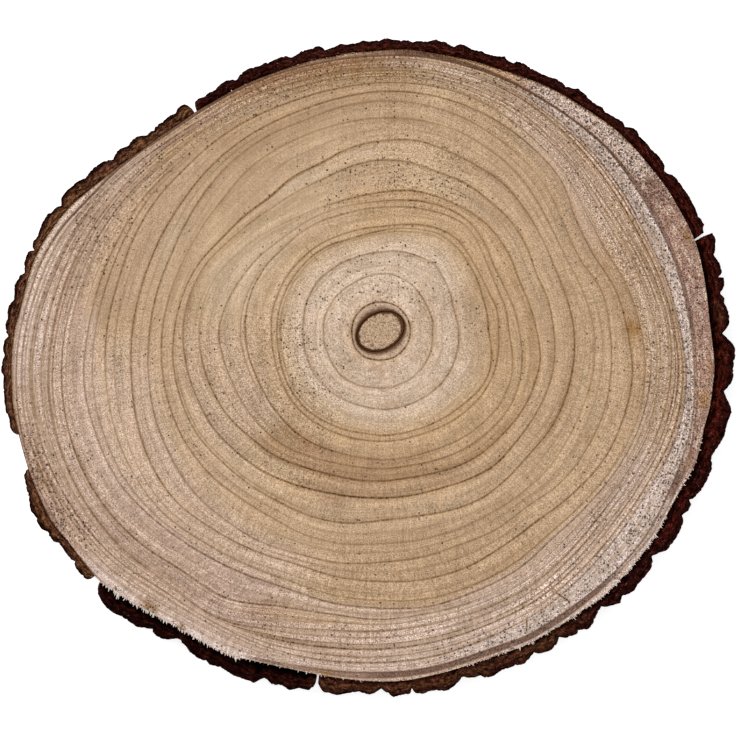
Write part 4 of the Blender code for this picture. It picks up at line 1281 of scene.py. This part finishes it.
class WoodTerms:
    """Where a point of the wood lies in its rings, and the noises that its colour and its light share."""

    def __init__(self, shades):
        self.shades = shades
        self.x, self.y, self.z = (part / UNIT for part in shades.parts(shades.place))
        self.read = self.x + MIDDLE[0], self.y + MIDDLE[1]
        from_pith = shades.join(self.read[0] - PITH[0], self.read[1] - PITH[1], 0.0)
        self.radius = shades.vector("LENGTH", from_pith, (0, 0, 0), 1)
        self.turn = shades.parts(shades.vector("NORMALIZE", from_pith, (0, 0, 0)))[:2]
        self.age = shades.attribute("age")
        self.inner_gap, self.outer_gap = shades.parts(shades.attribute("gaps", "Vector"))[:2]
        self.inner_depth, self.outer_depth, self.shade = shades.parts(shades.attribute("depth", "Vector"))
        self.masks = {
            name: shades.attribute(name) for name in (*MASKS, "rim", "side", "wall", "dish", "brink")
        }
        self.outward = self.radius.step(190.0, 270.0)
        self.fine = shades.noise(FINE_SCALE, 0.0)
        self.grit = shades.noise(GRIT_SCALE, 1.0)
        self.coarse = shades.noise(COARSE_SCALE)
        self.streaks = self.noise_round(5.0, self.age * 6.0)
        self.mottle = self.noise_round(22.0, self.age * 4.5)
        self.rays = self.noise_round(95.0, self.radius * 0.08, 1.0) * self.radius.step(25.0, 90.0)

    def noise_round(self, turns, third, detail=2.0):
        """Noise with this many steps in the turn round the pith, and with its third place given."""
        place = self.shades.join(self.turn[0] * turns, self.turn[1] * turns, third)
        return self.shades.noise(1.0, detail, place)

    def beside_lines(self, away, width):
        """How dark the lines are on both sides of their middle, this far away from it."""
        inner = self.inner_depth * (self.inner_gap - away).bell(width)
        return inner + self.outer_depth * (self.outer_gap - away).bell(width)


def wood_colour(wood, colours):
    """Colour of the wood between its lines."""
    mix, masks, grit, coarse = wood.shades.mix, wood.masks, wood.grit, wood.coarse
    colour = colours.tan
    for name in ("light", "cream", "gold", "deep", "pink"):
        colour = mix(masks[name], colour, getattr(colours, name))
    # Painted shade in the dish round the groove
    colour = mix(masks["dish"] * 1.2, colour, colours.dish_shade)
    colour = mix(masks["rust"] * (0.9 + grit * 0.8 + coarse * 0.4), colour, colours.rust)
    colour = mix(masks["pale"] * (0.85 + grit * 0.35 + coarse * 0.35), colour, colours.pale)
    colour = mix(masks["mauve"] * (0.84 + grit * 1.0 + wood.mottle * 2.2), colour, colours.mauve)
    return mix(masks["stain"] * (0.8 + coarse * 0.8 + grit * 0.4), colour, colours.stain)


def ring_lines(wood):
    """The lines of the rings, which sway a little, and the scratches."""
    sway = wood.coarse * 0.35 - 0.12
    inner = wood.inner_depth * (wood.inner_gap + sway).bell(LINE_WIDTH)
    lines = inner + wood.outer_depth * (wood.outer_gap - sway).bell(LINE_WIDTH)
    lines = lines * (wood.outward * 0.15 + LINE_STRENGTH)
    for scratch in SCRATCHES:
        lines = lines.larger(wood.shades.stroke(*wood.read, scratch))
    return lines


def darkness(wood, lines):
    """How much darker the lines, the shade inside them, the specks, the painted shadow at the edge and the
    painted shade of the dish make the wood look.
    """
    masks, age = wood.masks, wood.age
    granular = (1.0 + (wood.fine * 1.6 + wood.grit * 0.9) * (masks["rough"] * 0.9 + 1.0)).larger(0.1)
    shading = wood.shade * (0.0 - wood.outer_gap.larger(0.0) / SHADE_REACH).exp()
    thin = wood.noise_round(1.4, age * 3.2, 1.0).bell(0.10) * (0.5 + wood.streaks).larger(0.0) * 0.13
    outer = age.step(14.5, 16.0) * age.step(19.0, 18.6)
    many = wood.noise_round(1.6, age * 5.5, 0.0).bell(0.25) * outer * 0.13
    specks = masks["rough"] * (0.0 - wood.grit).larger(0.0) * 0.24
    # Painted shadow along the edge of the wood
    rim = (wood.outer_gap - 0.3).bell(1.2) * age.step(20.0, 20.01) * masks["brink"] * 0.45
    # Painted shade in the dish round the groove
    dish = masks["dish"] * 0.10 + masks["dish"] ** 2.0 * 0.46
    return (lines + thin + many) * granular + shading + specks + rim + dish


def lightness(wood):
    """How light the wood looks without its lines: light beside them, streaks and saw marks."""
    after = wood.inner_depth * (wood.inner_gap - 5.5).bell(3.0)
    drifts = wood.noise_round(3.0, wood.age * 1.7, 1.0)
    saw = wood.shades.noise(1.0, 1.0, wood.shades.join(wood.x * 0.45, wood.y * 0.01, 0.0))
    light = 1.0 + after * 0.20 + wood.beside_lines(2.1, 1.0) * LINE_HALO
    light = light + wood.streaks * 0.08 + drifts * 0.07 + wood.shades.noise(BLOTCH_SCALE) * 0.02 + saw * 0.04
    return light + wood.age.step(14.3, 16.0) * 0.030


def grain(wood):
    """The finest grain and the rays, weaker where the wood is smooth."""
    masks, outward = wood.masks, wood.outward
    polish = 1.0 - masks["smooth"] * 0.35
    steps = (wood.fine * 0.29 + wood.grit * 0.03 + wood.coarse * 0.02) * polish * (1.0 + outward * 0.2)
    steps = steps * (1.0 + masks["rough"] * 0.75 - masks["pale"] * 0.35)
    steps = steps - steps.larger(0.0) * (0.28 - outward * 0.22) + 0.004
    return steps, wood.rays * polish * (0.085 - wood.turn[1] * 0.03)


def add_band(wood, colour, colours):
    """The band under the bark."""
    mix, rust, grit, mottle = wood.shades.mix, wood.masks["rust"], wood.grit, wood.mottle
    band = wood.age.step(18.96, 19.00) * wood.age.step(20.04, 20.00) * wood.masks["rim"]
    light = (0.78 - rust * 0.13 + wood.fine * 0.30 + grit * 0.20 + mottle * 0.25).larger(0.1) ** SEEN_POWER
    band_colour = wood.shades.darken(mix(rust, colours.mauve, colours.rust), light)
    return mix(band * (0.92 + grit * 0.3 + mottle * 0.3), colour, band_colour)


def open_pores(wood):
    """Fine pores in the rough wood and along the rings, and wider ones in the clusters."""
    shades, coarse = wood.shades, wood.coarse
    along_rings = (wood.inner_gap - 2.6).bell(2.2) * (0.04 + coarse * 0.14)
    clusters = wood.masks["pores"] * (0.52 + coarse * 0.60)
    many = clusters.larger(along_rings).larger(wood.masks["rough"] * (0.07 + coarse * 0.26)) + 0.008
    for column in PORE_COLUMNS:
        many = many.larger(shades.stroke(*wood.read, column) * 0.6)
    place = shades.join(*wood.read, 0.0)
    small = shades.pits(place, SMALL_PORE[0], many * 1.15, SMALL_PORE[1])
    return small.larger(shades.pits(place, LARGE_PORE[0], (clusters - 0.20) * 1.4, LARGE_PORE[1]))


def wood_material(colours):
    shades = Shades("slice_wood")
    wood = WoodTerms(shades)
    lines = ring_lines(wood)
    steps, rays = grain(wood)
    light, dark = lightness(wood) + rays, darkness(wood, lines)
    tinted = [(light + (steps - dark) * tint).larger(0.1) ** SEEN_POWER for tint in LINE_TINT]
    colour = shades.vector("MULTIPLY", wood_colour(wood, colours), shades.join(*tinted))
    colour = add_band(wood, colour, colours)
    pits = open_pores(wood)
    colour = shades.mix(pits * 0.95, colour, colours.pore)
    side_grain = wood.noise_round(260.0, wood.z * 0.05)
    colour = shades.mix(wood.masks["side"], colour, shades.darken(colours.tan, 0.86 + side_grain * 0.08))
    # Painted shade: the hollow's wall and lip take the dark colour of the groove
    colour = shades.mix(wood.masks["wall"].step(0.6, 0.95), colour, colours.hollow)
    height = wood.grit * 0.5 + wood.fine * 0.3 + wood.rays * 0.25 - lines * 1.2 - pits * 0.8
    return shades.finish(colour, 0.72, height, WOOD_BUMP)


def fibre_material(colours):
    shades = Shades("slice_fibres")
    colour = shades.darken(colours.fibre, 1.0 + shades.noise(GRIT_SCALE) * 0.35)
    return shades.finish(colour, 0.8)


def pith_material(colours):
    shades = Shades("slice_pith")
    z = shades.parts(shades.place)[2]
    grit = shades.noise(1500.0, roughness=0.7)
    lumps = shades.noise(420.0)
    grains = (1.04 + grit * 0.62 + lumps * 0.12).larger(0.2) ** SEEN_POWER
    holes = shades.pits(shades.place, 2.6 * UNIT, 0.05 + lumps * 0.35, 0.30)
    colour = shades.mix(holes * 0.8, shades.darken(colours.pith, grains), colours.pore)
    # Painted shade: below the groove's lip the pith turns to the dark hollow colour
    sunk = z.step(*(WOOD_BOX[1].z - depth for depth in GROOVE_SHADE))
    colour = shades.mix(sunk, colour, colours.hollow)
    return shades.finish(colour, 0.9, grit + lumps, PITH_BUMP)


def bark_material(colours, base, streak):
    shades = Shades("slice_" + base)
    across, along, level = (shades.attribute(part) for part in ("across", "along", "level"))
    speckle = shades.noise(800.0, roughness=0.7)
    fine = shades.noise(1900.0, 1.0)
    patches = shades.noise(260.0, roughness=0.6)
    layers = shades.noise(1.0, 2.0, shades.join(along * 0.16, across * 6.0, level * 4.0))
    plates = shades.noise(1.0, 1.0, shades.join(along * 0.06, across * 1.3, level * 2.0 + 7.0))
    outside = (across + patches * 0.2 + plates * 0.3).step(0.35, 0.85)
    colour = getattr(colours, base)
    for share, tone in (
        (shades.attribute("brown") * (0.85 + patches * 0.5), "brown"),
        (shades.attribute("red") * (0.8 + patches * 0.9), "red"),
        (shades.attribute("ochre") * (0.8 + patches * 0.9), "ochre"),
        (layers.step(0.05, 0.6) * 0.34, streak), (plates.step(0.1, 0.6) * 0.22, "red"),
        (outside * 0.75, "bark"), (fine.step(0.40, 0.85) * 0.34, "dust"),
    ):
        colour = shades.mix(share, colour, getattr(colours, tone))
    rim = 1.0 - (across + patches * 0.12).step(0.55, 1.0) * RIM_SHADE[base]
    grains = (0.98 + speckle * 0.45 + fine * 0.6 + layers * 1.15 + plates * 0.3).larger(0.15)
    shadow = 1.0 - shades.attribute("shadow") * (0.85 + speckle * 0.4)
    lit = grains * rim * shadow.larger(0.08)
    colour = shades.vector("MULTIPLY", colour, shades.join(*(lit**power for power in BARK_POWERS)))
    return shades.finish(colour, 0.95, speckle * 0.6 + patches, BARK_BUMP, gloss=0.02)


class SliceStep(bpy.types.Operator):
    """What the operators of the slice share"""

    bl_options = {"REGISTER", "UNDO"}


class MakeWood(SliceStep):
    """Make the sawn wood with its rings"""

    bl_idname = "slice.wood"
    bl_label = "Wood"

    def execute(self, context):
        make_wood(context.scene.slice_sizes, wood_material(context.scene.slice_colours))
        return {"FINISHED"}


class MakeFibres(SliceStep):
    """Make the torn fibres along the edge of the wood"""

    bl_idname = "slice.fibres"
    bl_label = "Torn Fibres"

    def execute(self, context):
        make_fibres(fibre_material(context.scene.slice_colours))
        return {"FINISHED"}


class MakePith(SliceStep):
    """Make the crumbly pith in its groove"""

    bl_idname = "slice.pith"
    bl_label = "Pith"

    def execute(self, context):
        make_pith(context.scene.slice_sizes, pith_material(context.scene.slice_colours))
        return {"FINISHED"}


class MakeBark(SliceStep):
    """Make the pieces of bark round the wood"""

    bl_idname = "slice.bark"
    bl_label = "Bark"

    def execute(self, context):
        scene = context.scene
        colours = scene.slice_colours
        finishes = {slot: bark_material(colours, slot, streak) for slot, streak in BARK_STREAKS.items()}
        for name, piece in BARK_PIECES.items():
            make_bark(name, scene.slice_sizes, finishes[piece[-1]])
        return {"FINISHED"}


class MakeStage(SliceStep):
    """Set up the floor, the light and the camera straight above the slice"""

    bl_idname = "slice.stage"
    bl_label = "Stage"

    def execute(self, context):
        make_floor()
        make_light(context.scene)
        make_camera(context.scene)
        return {"FINISHED"}


class SlicePanel(bpy.types.Panel):
    """The sizes, colours and steps of the slice"""

    bl_idname = "VIEW3D_PT_slice"
    bl_label = "Wood Slice"
    bl_space_type = "VIEW_3D"
    bl_region_type = "UI"
    bl_category = "Slice"

    def draw(self, context):
        for group in (context.scene.slice_sizes, context.scene.slice_colours):
            for name in group.bl_rna.properties.keys():
                if name not in ("rna_type", "name"):
                    self.layout.prop(group, name)
        for step in STEPS:
            self.layout.operator(step.bl_idname)


STEPS = (MakeWood, MakeFibres, MakePith, MakeBark, MakeStage)
CLASSES = (SliceSizes, SliceColours, *STEPS, SlicePanel)


def make_floor():
    shape = bmesh.new()
    bmesh.ops.create_grid(shape, x_segments=1, y_segments=1, size=FLOOR_SIZE / 2)
    mesh = bpy.data.meshes.new("floor")
    shape.to_mesh(mesh)
    shape.free()
    shades = Shades("pale_floor")
    shades.shader.inputs["Emission Color"].default_value = (1.0, 1.0, 1.0, 1.0)
    shades.shader.inputs["Emission Strength"].default_value = FLOOR_GLOW
    mesh.materials.append(shades.finish((FLOOR_GREY,) * 3, 1.0))
    floor = bpy.data.objects.new("floor", mesh)
    bpy.context.scene.collection.objects.link(floor)


def make_light(scene):
    scene.view_settings.view_transform = "Standard"
    world = bpy.data.worlds.new("soft_light")
    world.use_nodes = True
    world.node_tree.nodes["Background"].inputs["Color"].default_value = (1.0, 1.0, 1.0, 1.0)
    world.node_tree.nodes["Background"].inputs["Strength"].default_value = WORLD_LIGHT
    scene.world = world
    lamp = bpy.data.lights.new("soft_lamp", "AREA")
    lamp.shape = "DISK"
    lamp.size = LAMP_SIZE
    lamp.energy = LAMP_POWER
    item = bpy.data.objects.new("soft_lamp", lamp)
    item.location = LAMP_PLACE
    item.rotation_euler = (-Vector(LAMP_PLACE)).to_track_quat("-Z", "Y").to_euler()
    scene.collection.objects.link(item)


def make_camera(scene):
    camera = bpy.data.cameras.new("camera")
    camera.sensor_width = CAMERA_SENSOR
    camera.lens = CAMERA_SENSOR * CAMERA_DISTANCE / PICTURE_WIDTH
    camera.clip_end = CAMERA_REACH
    item = bpy.data.objects.new("camera", camera)
    item.location = (CAMERA_PLACE[0] * UNIT, CAMERA_PLACE[1] * UNIT, WOOD_BOX[1].z + CAMERA_DISTANCE)
    scene.collection.objects.link(item)
    scene.camera = item


def register():
    for item in CLASSES:
        bpy.utils.register_class(item)
    bpy.types.Scene.slice_sizes = bpy.props.PointerProperty(type=SliceSizes)
    bpy.types.Scene.slice_colours = bpy.props.PointerProperty(type=SliceColours)


def unregister():
    del bpy.types.Scene.slice_colours
    del bpy.types.Scene.slice_sizes
    for item in reversed(CLASSES):
        bpy.utils.unregister_class(item)


def main():
    register()
    bpy.ops.slice.wood()
    bpy.ops.slice.fibres()
    bpy.ops.slice.pith()
    bpy.ops.slice.bark()
    bpy.ops.slice.stage()


if __name__ == "__main__":
    main()
